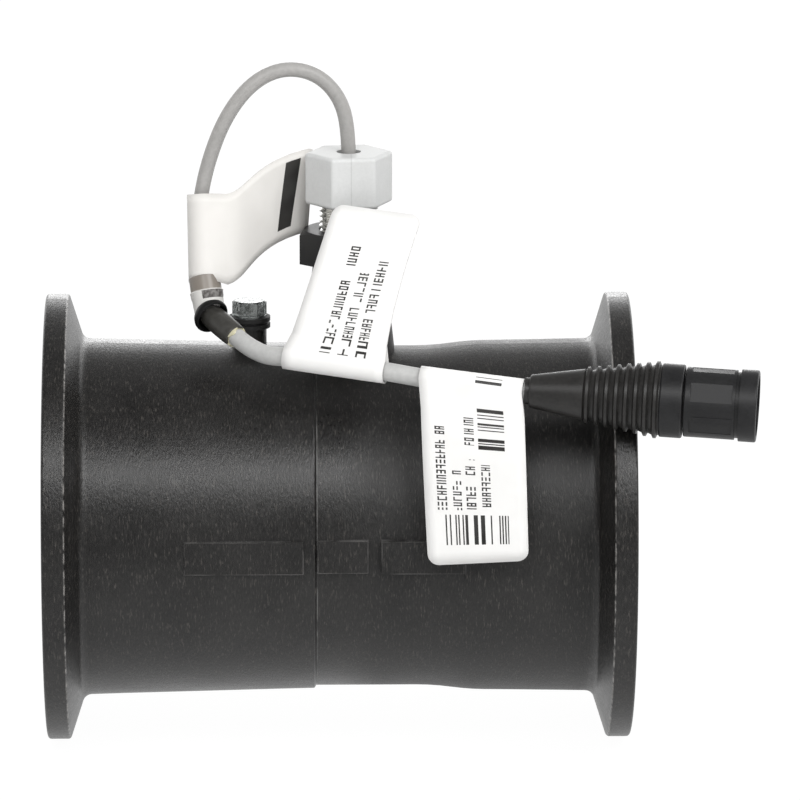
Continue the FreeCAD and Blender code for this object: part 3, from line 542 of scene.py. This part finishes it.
# %% Put the finishes on the CAD nodes
FINISHED_NODES = (
    (body_black, ["meter_body"]),
    (sensor_grey, ["sensor_head"]),
    (nut_black, ["jam_nut"]),
    (zinc_steel, ["retaining_screw"]),
    (collar_black, ["screw_seal_collar"]),
    (hub_plastic, ["inlet_hub", "outlet_hub"]),
    (stud_plastic, ["hub_stud", "stud_lock_nut"]),
    (bushing_grey, ["inlet_bushing", "outlet_bushing"]),
    (rotor_plastic, ["turbine_rotor"]),
    (magnet_metal, ["rotor_magnets"]),
    (shaft_steel, ["rotor_shaft", "snap_ring"]),
    (boot_black, ["connector_boot"]),
    (connector_black, ["connector_shell", "coupling_ring"]),
    (insert_black, ["connector_insert"]),
    (contact_gold, ["contact_pins"]),
)
for finish, finished_nodes in FINISHED_NODES:
    for node in finished_nodes:
        for material_slot in nodes[node].material_slots:
            material_slot.material = finish
print("finishes on CAD nodes", len(FINISHED_NODES))

# %% [markdown]
# ## Threaded barrel
#
# Between the nut and the cap the sensor's plated barrel shows its thread. A thread is one small
# profile that turns and climbs at the same time, which is just what a spin with a shift per step
# makes. The ends are then cut square with a plane and closed.

# %% Turn a mesh into a finished piece
SHARP_ANGLE = math.radians(38)
MERGE_DISTANCE = 0.000002


def finished_piece(name, bm, material):
    """Make an object from a bmesh, give it its finish, and let it ride on the housing."""
    data = bpy.data.meshes.new(name)
    bm.to_mesh(data)
    bm.free()
    data.materials.append(material)
    data.shade_smooth()
    data.set_sharp_from_angle(angle=SHARP_ANGLE)
    made = bpy.data.objects.new(name, data)
    bpy.context.scene.collection.objects.link(made)
    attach(made, "housing")
    print(name, "faces", len(data.polygons))
    return made


def cut_mesh(bm, point, normal, clear_outer=False):
    """Cut every face that a plane crosses, clear what lies beyond it if asked, and give the cut."""
    everything = list(bm.verts) + list(bm.edges) + list(bm.faces)
    return bmesh.ops.bisect_plane(bm, geom=everything, plane_co=point, plane_no=normal,
                                  clear_outer=clear_outer)["geom_cut"]


def cut_square(bm, point, normal):
    """Cut everything beyond a plane away and close the cut."""
    cut = cut_mesh(bm, point, normal, clear_outer=True)
    bmesh.ops.holes_fill(bm, edges=[part for part in cut if isinstance(part, bmesh.types.BMEdge)], sides=0)


def face_outwards(bm):
    """Merge doubles, then turn all normals outwards."""
    bmesh.ops.remove_doubles(bm, verts=list(bm.verts), dist=MERGE_DISTANCE)
    bmesh.ops.recalc_face_normals(bm, faces=list(bm.faces))


print("edges sharper than", round(math.degrees(SHARP_ANGLE)), "degrees stay crisp")

# %% Model the thread
SENSOR_X = 0.0813
THREAD_CREST_R = 0.00794
THREAD_ROOT_R = 0.00722
THREAD_PITCH = 0.00141
THREAD_STEPS = 40
BARREL_Z = (0.0389, 0.0860)

thread_turns = math.ceil((BARREL_Z[1] - BARREL_Z[0]) / THREAD_PITCH) + 2
thread = bmesh.new()
tooth = [(THREAD_ROOT_R, 0.0), (THREAD_ROOT_R, 0.12), (THREAD_CREST_R, 0.48), (THREAD_CREST_R, 0.60),
         (THREAD_ROOT_R, 1.0)]
tooth_start_z = BARREL_Z[0] - THREAD_PITCH
corners = [thread.verts.new((SENSOR_X + radius, 0, tooth_start_z + share * THREAD_PITCH))
           for radius, share in tooth]
sides = [thread.edges.new(pair) for pair in zip(corners, corners[1:])]
bmesh.ops.spin(thread, geom=corners + sides, cent=(SENSOR_X, 0, 0), axis=(0, 0, 1),
               dvec=(0, 0, THREAD_PITCH / THREAD_STEPS), angle=2 * math.pi * thread_turns,
               steps=THREAD_STEPS * thread_turns)
bmesh.ops.remove_doubles(thread, verts=list(thread.verts), dist=MERGE_DISTANCE)
cut_square(thread, (0, 0, BARREL_Z[1]), (0, 0, 1))
cut_square(thread, (0, 0, BARREL_Z[0]), (0, 0, -1))
face_outwards(thread)
threaded_barrel = finished_piece("threaded_barrel", thread, sensor_metal)
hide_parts("sensor_barrel")

# %% [markdown]
# ## Splice
#
# The two cables meet in a pale printed sleeve and a black shrink tube. The tube was shrunk over the
# splice, so its wide end stands off in a dark rim and its narrow end grips the thick cable with a
# bead of clear glue. Both are round, so each is a profile spun about its own axis and then placed.

# %% Spin a profile and place it along an axis
SPIN_STEPS = 64


def spun(profile):
    """Closed or open outline of (distance, radius) in millimetres, spun about the X axis."""
    bm = bmesh.new()
    corners = [bm.verts.new(millimetres(along, 0, radius)) for along, radius in profile]
    sides = [bm.edges.new(pair) for pair in zip(corners, corners[1:])]
    bmesh.ops.spin(bm, geom=corners + sides, cent=(0, 0, 0), axis=(1, 0, 0), angle=2 * math.pi,
                   steps=SPIN_STEPS, use_merge=True)
    face_outwards(bm)
    return bm


def place_along(bm, start, direction):
    """Move a mesh built along +X so that it runs from start along direction."""
    turn = direction.to_track_quat("X", "Z").to_matrix().to_4x4()
    bmesh.ops.transform(bm, matrix=Matrix.Translation(start) @ turn, verts=list(bm.verts))


print("a full turn takes", SPIN_STEPS, "steps")

# %% [markdown]
# The wrap is pale and slightly glossy, with a painted grey-brown shade from the upper label's edge
# down to its raised lip, and a rubbed patch of print. Both are placed in the sleeve's own UV map: U is
# the distance along it as a share of its visible length, and V the share of a turn round it, so they
# stay put on a piece at a slant.

# %% Sleeve finish
WRAP_TONE = (0.58, 0.57, 0.55)
SHADE_TONE = (0.19, 0.168, 0.145)
RUBBED_TONE = (0.055, 0.048, 0.045)
sleeve_white, tree, shader, position = start_material("sleeve_white")
sleeve_uv = tree.nodes.new("ShaderNodeUVMap").outputs[0]
sleeve_parts = add_node(tree, "ShaderNodeSeparateXYZ", None, {0: sleeve_uv}).outputs
smudge = add_node(tree, "ShaderNodeTexNoise", None, {"Vector": position, "Scale": 1400.0, "Detail": 3.0})
# Painted shade: the band of the wrap under the upper label takes this darker tone.
shaded = rescale(tree, sleeve_parts[0], 0.46, 0.51, 1.0, 0.0)
patch = arithmetic(tree, "MULTIPLY", window(tree, sleeve_parts[0], 0.52, 0.78),
                   window(tree, sleeve_parts[1], 0.14, 0.50))
inked = arithmetic(tree, "MULTIPLY", patch, rescale(tree, smudge.outputs["Fac"], 0.38, 0.60, 0.98, 0.75))
wrap_tone = blend_colours(tree, shaded, WRAP_TONE, SHADE_TONE)
tree.links.new(blend_colours(tree, inked, wrap_tone, RUBBED_TONE), shader.inputs["Base Color"])
shader.inputs["Roughness"].default_value = 0.34
print("finish", sleeve_white.name)

# %% [markdown]
# The sleeve and the tube's dark rim lean different ways. The sleeve is spun too long and then cut by
# a plane half way between the two directions, inside the rim, so its end stays out of sight.

# %% Model the sleeve
SLEEVE_START = millimetres(42.6, -10.8, 68.3)
SHRINK_START = millimetres(44.25, -14.57, 58.64)
SHRINK_END = millimetres(51.2, -22.5, 54.3)
SLEEVE_OUTLINE = [(0.0, 0.0), (0.0, 3.7), (0.3, 4.1), (4.0, 4.2), (4.15, 4.4), (4.4, 4.5), (4.7, 4.4),
                  (5.9, 4.35), (6.3, 4.2), (8.4, 4.1), (11.5, 4.0), (11.5, 0.0)]
SLEEVE_VISIBLE = 8.4 * MM
FLARE_MIDDLE = millimetres(44.2, -15.7, 58.9)
FLARE_FACING = Vector((0.50, -0.78, -0.38))
SLEEVE_CUT_BACK = 1.7 * MM


def turn_share(place):
    """Share of a turn round X, zero on the -Y side."""
    return math.atan2(place.z, -place.y) / (2 * math.pi)


def map_round(bm, length):
    """UV map of a shape spun about X: U is the share of a length along it, V that of a turn."""
    layer = bm.loops.layers.uv.new("round")
    for face in bm.faces:
        face_share = turn_share(face.calc_center_median())
        for corner in face.loops:
            place = corner.vert.co
            share = turn_share(place) if place.yz.length > 1e-7 else face_share
            corner[layer].uv = (place.x / length, share - round(share - face_share))


sleeve = spun(SLEEVE_OUTLINE)
map_round(sleeve, SLEEVE_VISIBLE)
place_along(sleeve, SLEEVE_START, SHRINK_START - SLEEVE_START)
cut_square(sleeve, FLARE_MIDDLE - SLEEVE_CUT_BACK * FLARE_FACING,
           (SHRINK_START - SLEEVE_START).normalized() + FLARE_FACING)
bmesh.ops.recalc_face_normals(sleeve, faces=list(sleeve.faces))
splice_wrap = finished_piece("splice_wrap", sleeve, sleeve_white)
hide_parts("splice_sleeve")

# %% [markdown]
# The shrink tube's wide end flared out into a thick rim that leans towards the viewer, and the
# tube starts inside it. The rim is the same heat-shrink, but its finish is a much darker copy of the
# tube's: painted shade for its shadowed recess. Rim and tube have their own axes, so each is spun and
# placed by itself. The glue that was squeezed out at the narrow end is a small ring, and a wave round
# the axis makes it thick on one side and thin on the other.

# %% Model the shrink tube
FLARE_OUTLINE = [(-2.4, 0.0), (-2.3, 2.2), (-1.7, 3.6), (-0.8, 4.4), (0.1, 4.8), (0.8, 4.85), (1.3, 4.65),
                 (1.45, 4.3), (1.1, 4.05), (0.2, 3.85), (-0.9, 3.75), (-1.2, 3.3), (-1.2, 0.0)]
TUBE_OUTLINE = [(-1.4, 0.0), (-1.4, 3.1), (-1.0, 3.2), (5.0, 3.3), (8.6, 3.25), (10.4, 3.15), (11.1, 3.0),
                (11.3, 2.8), (11.2, 2.55), (10.0, 2.5), (10.0, 0.0)]

shrink = spun(TUBE_OUTLINE)
place_along(shrink, SHRINK_START, SHRINK_END - SHRINK_START)
shrink_tube = finished_piece("shrink_tube", shrink, shrink_black)
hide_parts("heat_shrink")
flare = spun(FLARE_OUTLINE)
place_along(flare, FLARE_MIDDLE, FLARE_FACING)
# The rim's darker finish is painted shade.
shrink_flare = finished_piece("shrink_flare", flare, flare_black_shaded)

# %% Model the glue bead
GLUE_TONES = ((0.30, 0.27, 0.15), (0.62, 0.60, 0.46))
GLUE_OUTLINE = [(10.9, 2.3), (10.9, 2.9), (11.5, 3.0), (12.0, 2.85), (12.3, 2.6), (12.1, 2.3), (10.9, 2.3)]
GLUE_BACK = GLUE_OUTLINE[0][0] * MM
glue = spun(GLUE_OUTLINE)
for corner in glue.verts:
    swell = 0.25 + 0.75 * math.sin(3 * math.pi * turn_share(corner.co) + 0.4) ** 4
    corner.co.x = GLUE_BACK + (corner.co.x - GLUE_BACK) * swell
place_along(glue, SHRINK_START, SHRINK_END - SHRINK_START)
glue_clear, tree, shader, position = start_material("clear_glue")
clouds = add_node(tree, "ShaderNodeTexNoise", None, {"Vector": position, "Scale": 900.0, "Detail": 2.0})
tree.links.new(blend_colours(tree, clouds.outputs["Fac"], *GLUE_TONES), shader.inputs["Base Color"])
shader.inputs["Roughness"].default_value = 0.12
glue_bead = finished_piece("glue_bead", glue, glue_clear)
print("splice modelled")

# %% [markdown]
# ## Flag labels
#
# Each label is one strip of printed film, folded round a cable, with its halves stuck together as a
# tail. The strip starts as a flat rectangle: its free corners are rounded with a bevel, and planes
# cut it into a lattice so that it can bend. Then every point moves from its flat place to its place
# on the folded film. The tail follows two edge curves, each steered by four points, so it can sway
# as film does, and the fold runs round the cable between them.

# %% Flat film
TAIL_SHARE = 0.42
CORNER_STEPS = 6
TAIL_STRIPS = 14
FOLD_STRIPS = 44
ACROSS_STRIPS = 10


def flat_film(length, width, corner_r):
    """Flat strip in X and Y with rounded ends, cut into a lattice that is finest at the fold."""
    bm = bmesh.new()
    bmesh.ops.create_grid(bm, x_segments=1, y_segments=1, size=0.5)
    bmesh.ops.translate(bm, vec=(0.5, 0.5, 0), verts=list(bm.verts))
    bmesh.ops.scale(bm, vec=(length, width, 1), verts=list(bm.verts))
    bmesh.ops.bevel(bm, geom=list(bm.verts), offset=corner_r, offset_type="OFFSET", affect="VERTICES",
                    segments=CORNER_STEPS, profile=0.5, material=-1)
    tail_cuts = [TAIL_SHARE * index / TAIL_STRIPS for index in range(1, TAIL_STRIPS + 1)]
    fold_cuts = [TAIL_SHARE + (1 - 2 * TAIL_SHARE) * index / FOLD_STRIPS for index in range(1, FOLD_STRIPS)]
    for cut in tail_cuts + fold_cuts + [1 - cut for cut in tail_cuts]:
        cut_mesh(bm, (cut * length, 0, 0), (1, 0, 0))
    for row in range(1, ACROSS_STRIPS):
        cut_mesh(bm, (0, width * row / ACROSS_STRIPS, 0), (0, 1, 0))
    layer = bm.loops.layers.uv.new("film")
    for face in bm.faces:
        for corner in face.loops:
            corner[layer].uv = (corner.vert.co.x / length, corner.vert.co.y / width)
    return bm


print("lattice", 2 * TAIL_STRIPS + FOLD_STRIPS, "by", ACROSS_STRIPS)

# %% [markdown]
# Seen along the cable, the folded strip is a keyhole: two straight legs run from the pinch to the
# points where they touch the fold, and an arc joins them round the far side of the cable.

# %% Fold the film
FILM_THICKNESS = 0.0002
HALF_GAP = 0.00012
LEG_SHARE = 0.16


def steered(points, share):
    """Point on the smooth curve that four points steer, by the share of its length."""
    rest = 1 - share
    return (points[0] * rest ** 3 + points[1] * 3 * rest ** 2 * share
            + points[2] * 3 * rest * share ** 2 + points[3] * share ** 3)


def tail_place(label, share, across):
    """Point in the middle of the tail, from the pinch at share 0 to the free end at share 1."""
    return steered(label["near_edge"], share).lerp(steered(label["far_edge"], share), across)


def tail_normal(label, share, across, towards):
    """Direction square to the tail, on the side of towards."""
    low, high = max(share - 0.01, 0.0), min(share + 0.01, 1.0)
    slope = tail_place(label, high, across) - tail_place(label, low, across)
    normal = (tail_place(label, share, 1) - tail_place(label, share, 0)).cross(slope).normalized()
    return normal if normal.dot(towards) > 0 else -normal


def folded_place(label, along, across):
    """Place on the folded film of a point that lies at these shares of the flat strip."""
    middle = label["cable"][0].lerp(label["cable"][1], across)
    cable_line = (label["cable"][1] - label["cable"][0]).normalized()
    fold_r = label["fold_r"][0] * (1 - across) + label["fold_r"][1] * across
    to_pinch = tail_place(label, 0.0, across) - middle
    skew = cable_line * to_pinch.dot(cable_line)
    reach = (to_pinch - skew).length
    forward = (to_pinch - skew).normalized()
    sideways = cable_line.cross(forward)
    half = 1 if along < 0.5 else -1
    if min(along, 1 - along) <= TAIL_SHARE:
        share = 1 - min(along, 1 - along) / TAIL_SHARE
        lift = tail_normal(label, share, across, sideways) * half * HALF_GAP
        return tail_place(label, share, across) + lift
    turn = (along - TAIL_SHARE) / (1 - 2 * TAIL_SHARE)
    touch = math.acos(min(fold_r / reach, 1.0))
    leg = min(turn, 1 - turn) / LEG_SHARE
    if leg < 1:
        start = middle + forward * reach + sideways * half * HALF_GAP
        end = middle + (forward * math.cos(touch) + sideways * half * math.sin(touch)) * fold_r
        return start.lerp(end, leg) + skew * (1 - leg)
    angle = touch + (2 * math.pi - 2 * touch) * (turn - LEG_SHARE) / (1 - 2 * LEG_SHARE)
    return middle + (forward * math.cos(angle) + sideways * math.sin(angle)) * fold_r


print("film", FILM_THICKNESS, "thick")

# %% [markdown]
# The film is warm white, a little glossy, and slightly uneven where it was stuck; the upper label's
# is older and yellower. The print is near black and wears a little unevenly. Each label says where
# its own marks go.
# The low half of U is the half that faces forwards, and it starts at the free end of the tail.

# %% The label finish
PAPER_TONES = ((0.66, 0.655, 0.64), (0.74, 0.735, 0.725))
AGED_TONES = ((0.58, 0.565, 0.54), (0.66, 0.645, 0.62))
INK_TONE = (0.016, 0.015, 0.014)


def label_finish(name, marks, paper_tones=PAPER_TONES):
    """Film with printed marks: each is a group, whether it is turned, a rectangle and its counts."""
    material, tree, shader, position = start_material(name)
    film_uv = tree.nodes.new("ShaderNodeUVMap").outputs[0]
    parts = add_node(tree, "ShaderNodeSeparateXYZ", None, {0: film_uv}).outputs
    turned_uv = add_node(tree, "ShaderNodeCombineXYZ", None, {0: parts[1], 1: parts[0]}).outputs[0]
    ink = 0.0
    for group, turned, (left, right, low, high), counts in marks:
        values = {"UV": turned_uv if turned else film_uv, "Left": left, "Right": right, "Low": low,
                  "High": high, **counts}
        ink = arithmetic(tree, "MAXIMUM", use_group(tree, group, values).outputs[0], ink)
    waver = add_node(tree, "ShaderNodeTexNoise", None, {"Vector": position, "Scale": 120.0, "Detail": 2.0})
    paper = blend_colours(tree, waver.outputs["Fac"], *paper_tones)
    faded = arithmetic(tree, "MULTIPLY", ink, rescale(tree, waver.outputs["Fac"], 0.3, 0.7, 0.95, 1.0))
    tree.links.new(blend_colours(tree, faded, paper, INK_TONE), shader.inputs["Base Color"])
    bump = add_node(tree, "ShaderNodeBump", None,
                    {"Strength": 0.25, "Distance": 0.0004, "Height": waver.outputs["Fac"]})
    tree.links.new(bump.outputs[0], shader.inputs["Normal"])
    shader.inputs["Roughness"].default_value = 0.42
    shader.inputs["Specular IOR Level"].default_value = 0.35
    return material


# %% What is printed on each label
MIDDLE_TYPE = {"Marks": 57.5}
SMALL_TYPE = {"Marks": 70.0}
upper_film = label_finish("upper_film", [
    (block_group, False, (0.041, 0.086, 0.085, 0.868), {"Slant": 0.024}),
], AGED_TONES)
middle_film = label_finish("middle_film", [
    (strokes_group, False, (0.10, 0.445, 0.345, 0.450), MIDDLE_TYPE),
    (strokes_group, False, (0.18, 0.445, 0.525, 0.630), MIDDLE_TYPE),
    (strokes_group, False, (0.14, 0.445, 0.700, 0.805), MIDDLE_TYPE),
])
lower_film = label_finish("lower_film", [
    (stripes_group, False, (0.305, 0.47, 0.20, 0.456), {"Count": 280.0}),
    (stripes_group, True, (0.184, 0.806, 0.046, 0.121), {"Count": 72.0}),
    (strokes_group, False, (0.133, 0.370, 0.780, 0.875), SMALL_TYPE),
    (strokes_group, False, (0.133, 0.258, 0.635, 0.720), SMALL_TYPE),
    (strokes_group, False, (0.136, 0.274, 0.495, 0.590), SMALL_TYPE),
    (strokes_group, False, (0.316, 0.404, 0.495, 0.590), SMALL_TYPE),
    (strokes_group, False, (0.141, 0.260, 0.350, 0.437), SMALL_TYPE),
])
print("label finishes", upper_film.name, middle_film.name, lower_film.name)

# %% Fold the three labels
def route(*points):
    """Several points written in millimetres."""
    return [millimetres(*point) for point in points]


def fold_label(name, node, material, flat, label):
    """Fold a flat film into a label, give it its thickness and let it stand for its CAD node."""
    length, width, corner_r = flat
    film = flat_film(length, width, corner_r)
    for corner in film.verts:
        corner.co = folded_place(label, corner.co.x / length, corner.co.y / width)
    piece = finished_piece(name, film, material)
    thickness = piece.modifiers.new("film_thickness", "SOLIDIFY")
    thickness.thickness = FILM_THICKNESS
    thickness.offset = 0.0
    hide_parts(node)
    return piece


upper_label = fold_label("upper_label", "flag_label_upper", upper_film, (0.086, 0.0235, 0.0012), {
    "cable": route((41.7, -5.4, 89.6), (43.2, -10.2, 66.8)), "fold_r": (0.0035, 0.0046),
    "near_edge": route((48.6, -7.0, 89.9), (54.4, -5.6, 90.3), (55.8, 1.5, 97.6), (72.0, 6.2, 99.8)),
    "far_edge": route((49.0, -12.2, 66.3), (55.0, -10.1, 67.9), (54.8, -2.0, 74.8), (70.3, 5.2, 77.1))})
middle_label = fold_label("middle_label", "flag_label_middle", middle_film, (0.096, 0.0268, 0.003), {
    "cable": route((64.1, -33.1, 51.3), (90.6, -41.8, 49.2)), "fold_r": (0.0032, 0.0032),
    "near_edge": route((66.0, -29.6, 57.0), (68.8, -25.5, 64.0), (72.6, -20.0, 75.0), (77.4, -13.5, 88.4)),
    "far_edge": route((90.9, -37.6, 55.2), (92.4, -33.0, 63.5), (95.6, -27.0, 74.0), (100.6, -19.5, 86.2))})
lower_label = fold_label("lower_label", "flag_label_lower", lower_film, (0.112, 0.0272, 0.003), {
    "cable": route((126.4, -49.9, 45.6), (99.5, -44.9, 48.1)), "fold_r": (0.0031, 0.0031),
    "near_edge": route((126.6, -53.6, 39.0), (127.0, -54.6, 29.0), (127.4, -54.4, 15.0), (127.9, -53.0, 0.6)),
    "far_edge": route((99.6, -49.2, 41.0), (99.9, -51.2, 30.0), (100.6, -51.6, 16.0), (101.5, -51.4, -1.0))})

# %% [markdown]
# ## Floor and light
#
# A plain pale floor carries the shadow and a pale world closes the picture. What the camera sees of
# them is white by their colour alone: the lamps stay at the level at which a colour renders about
# as it is written. In reflections the floor glows less in front of the part than behind it, which
# keeps the front of the black body dark.

# %% Floor
FLOOR_Z = -0.0601
FLOOR_Y = 0.8
BACKGROUND_SHARE = 0.95
CAMERA_WHITE = 1.03
FLOOR_FRONT = 0.42
FLOOR_FRONT_Y, FLOOR_BACK_Y = -0.25 - FLOOR_Y, 0.05 - FLOOR_Y


def is_reflected(tree, rays):
    """One for a ray that a shiny or a clear surface sends on, else zero."""
    return arithmetic(tree, "MAXIMUM", rays.outputs["Is Glossy Ray"], rays.outputs["Is Transmission Ray"])


bpy.ops.mesh.primitive_plane_add(size=6, location=(0.08, FLOOR_Y, FLOOR_Z))
floor = bpy.context.object
floor.name = "studio_floor"
floor_white = bpy.data.materials.new("floor_white")
floor_white.use_nodes = True
floor_tree = floor_white.node_tree
floor_place = add_node(floor_tree, "ShaderNodeTexCoord").outputs["Object"]
floor_depth = add_node(floor_tree, "ShaderNodeSeparateXYZ", None, {0: floor_place}).outputs[1]
floor_shader = floor_tree.nodes["Principled BSDF"]
floor_shader.inputs["Base Color"].default_value = (0.88, 0.88, 0.88, 1)
floor_shader.inputs["Roughness"].default_value = 0.6
floor_shader.inputs["Specular IOR Level"].default_value = 0.1
rays = add_node(floor_tree, "ShaderNodeLightPath")
floor_room = rescale(floor_tree, floor_depth, FLOOR_FRONT_Y, FLOOR_BACK_Y, FLOOR_FRONT, 1.0)
seen = arithmetic(floor_tree, "MAXIMUM", rays.outputs["Is Camera Ray"], is_reflected(floor_tree, rays))
brightness = arithmetic(floor_tree, "MAXIMUM", floor_room,
                        arithmetic(floor_tree, "MULTIPLY", rays.outputs["Is Camera Ray"], CAMERA_WHITE))
glow = add_node(floor_tree, "ShaderNodeEmission", None, {"Color": (1, 1, 1, 1), "Strength": brightness})
floor_mix = add_node(floor_tree, "ShaderNodeMixShader", None,
                     {0: arithmetic(floor_tree, "MULTIPLY", seen, BACKGROUND_SHARE),
                      1: floor_shader.outputs[0], 2: glow.outputs[0]})
floor_tree.links.new(floor_mix.outputs[0], floor_tree.nodes["Material Output"].inputs["Surface"])
floor.data.materials.append(floor_white)
print("floor at", FLOOR_Z)

# %% [markdown]
# The world lights rough surfaces softly, more from above than from the sides. A reflection sees
# another world: bright behind the part, dim in front of it and dim overhead.

# %% World
WORLD_SIDE_LIGHT = 0.45
WORLD_TOP_LIGHT = 1.14
WORLD_FRONT = 0.26
WORLD_BACK = 1.5
WORLD_TOP = 0.20

world = bpy.data.worlds.new("studio_world")
bpy.context.scene.world = world
world.use_nodes = True
world_tree = world.node_tree
world_rays = add_node(world_tree, "ShaderNodeLightPath")
world_way = add_node(world_tree, "ShaderNodeTexCoord").outputs["Generated"]
world_parts = add_node(world_tree, "ShaderNodeSeparateXYZ", None, {0: world_way}).outputs
world_back = rescale(world_tree, world_parts[1], -0.35, 0.45, WORLD_FRONT, WORLD_BACK, "SMOOTHSTEP")
world_low = rescale(world_tree, world_parts[2], 0.28, 0.62, 1.0, WORLD_TOP, "SMOOTHSTEP")
world_room = arithmetic(world_tree, "MULTIPLY", world_back, world_low)
reflected = is_reflected(world_tree, world_rays)
overhead = rescale(world_tree, world_parts[2], 0.0, 1.0, WORLD_SIDE_LIGHT, WORLD_TOP_LIGHT)
lit = arithmetic(world_tree, "MULTIPLY", arithmetic(world_tree, "SUBTRACT", 1.0, reflected), overhead)
mirrored = arithmetic(world_tree, "MULTIPLY", reflected, world_room)
strength = arithmetic(world_tree, "MAXIMUM", arithmetic(world_tree, "ADD", lit, mirrored),
                      world_rays.outputs["Is Camera Ray"])
world_background = world_tree.nodes["Background"]
world_background.inputs["Color"].default_value = (1, 1, 1, 1)
world_tree.links.new(strength, world_background.inputs["Strength"])
bpy.context.scene.view_settings.view_transform = "Standard"
print("world", world.name)

# %% [markdown]
# A wide soft lamp stands high on the right, as the bright line in the left fillet and the dull left
# face of the sensor's cap show. A weaker one fills from the left, and a low one behind draws the
# pale line along every upper edge.

# %% Lamps
def soft_lamp(name, bearing, height_angle, distance, width, height, power):
    """Area lamp that points at the part; bearing 0 is the camera's side, 90 the right."""
    data = bpy.data.lights.new(name, "AREA")
    data.shape = "RECTANGLE"
    data.size = width
    data.size_y = height
    data.energy = power
    lamp = bpy.data.objects.new(name, data)
    bearing, height_angle = math.radians(bearing), math.radians(height_angle)
    away = Vector((math.sin(bearing) * math.cos(height_angle), -math.cos(bearing) * math.cos(height_angle),
                   math.sin(height_angle)))
    lamp.location = LOOK_AT + away * distance
    lamp.rotation_euler = (-away).to_track_quat("-Z", "Y").to_euler()
    bpy.context.scene.collection.objects.link(lamp)
    return lamp


soft_lamp("key_softbox", 38, 37, 1.1, 0.60, 0.42, 6.2)
soft_lamp("sheen_softbox", -14, 38, 1.1, 0.45, 0.34, 3.2)
soft_lamp("back_softbox", 180, 8, 1.3, 0.5, 0.26, 1.3)
print("lamps set")
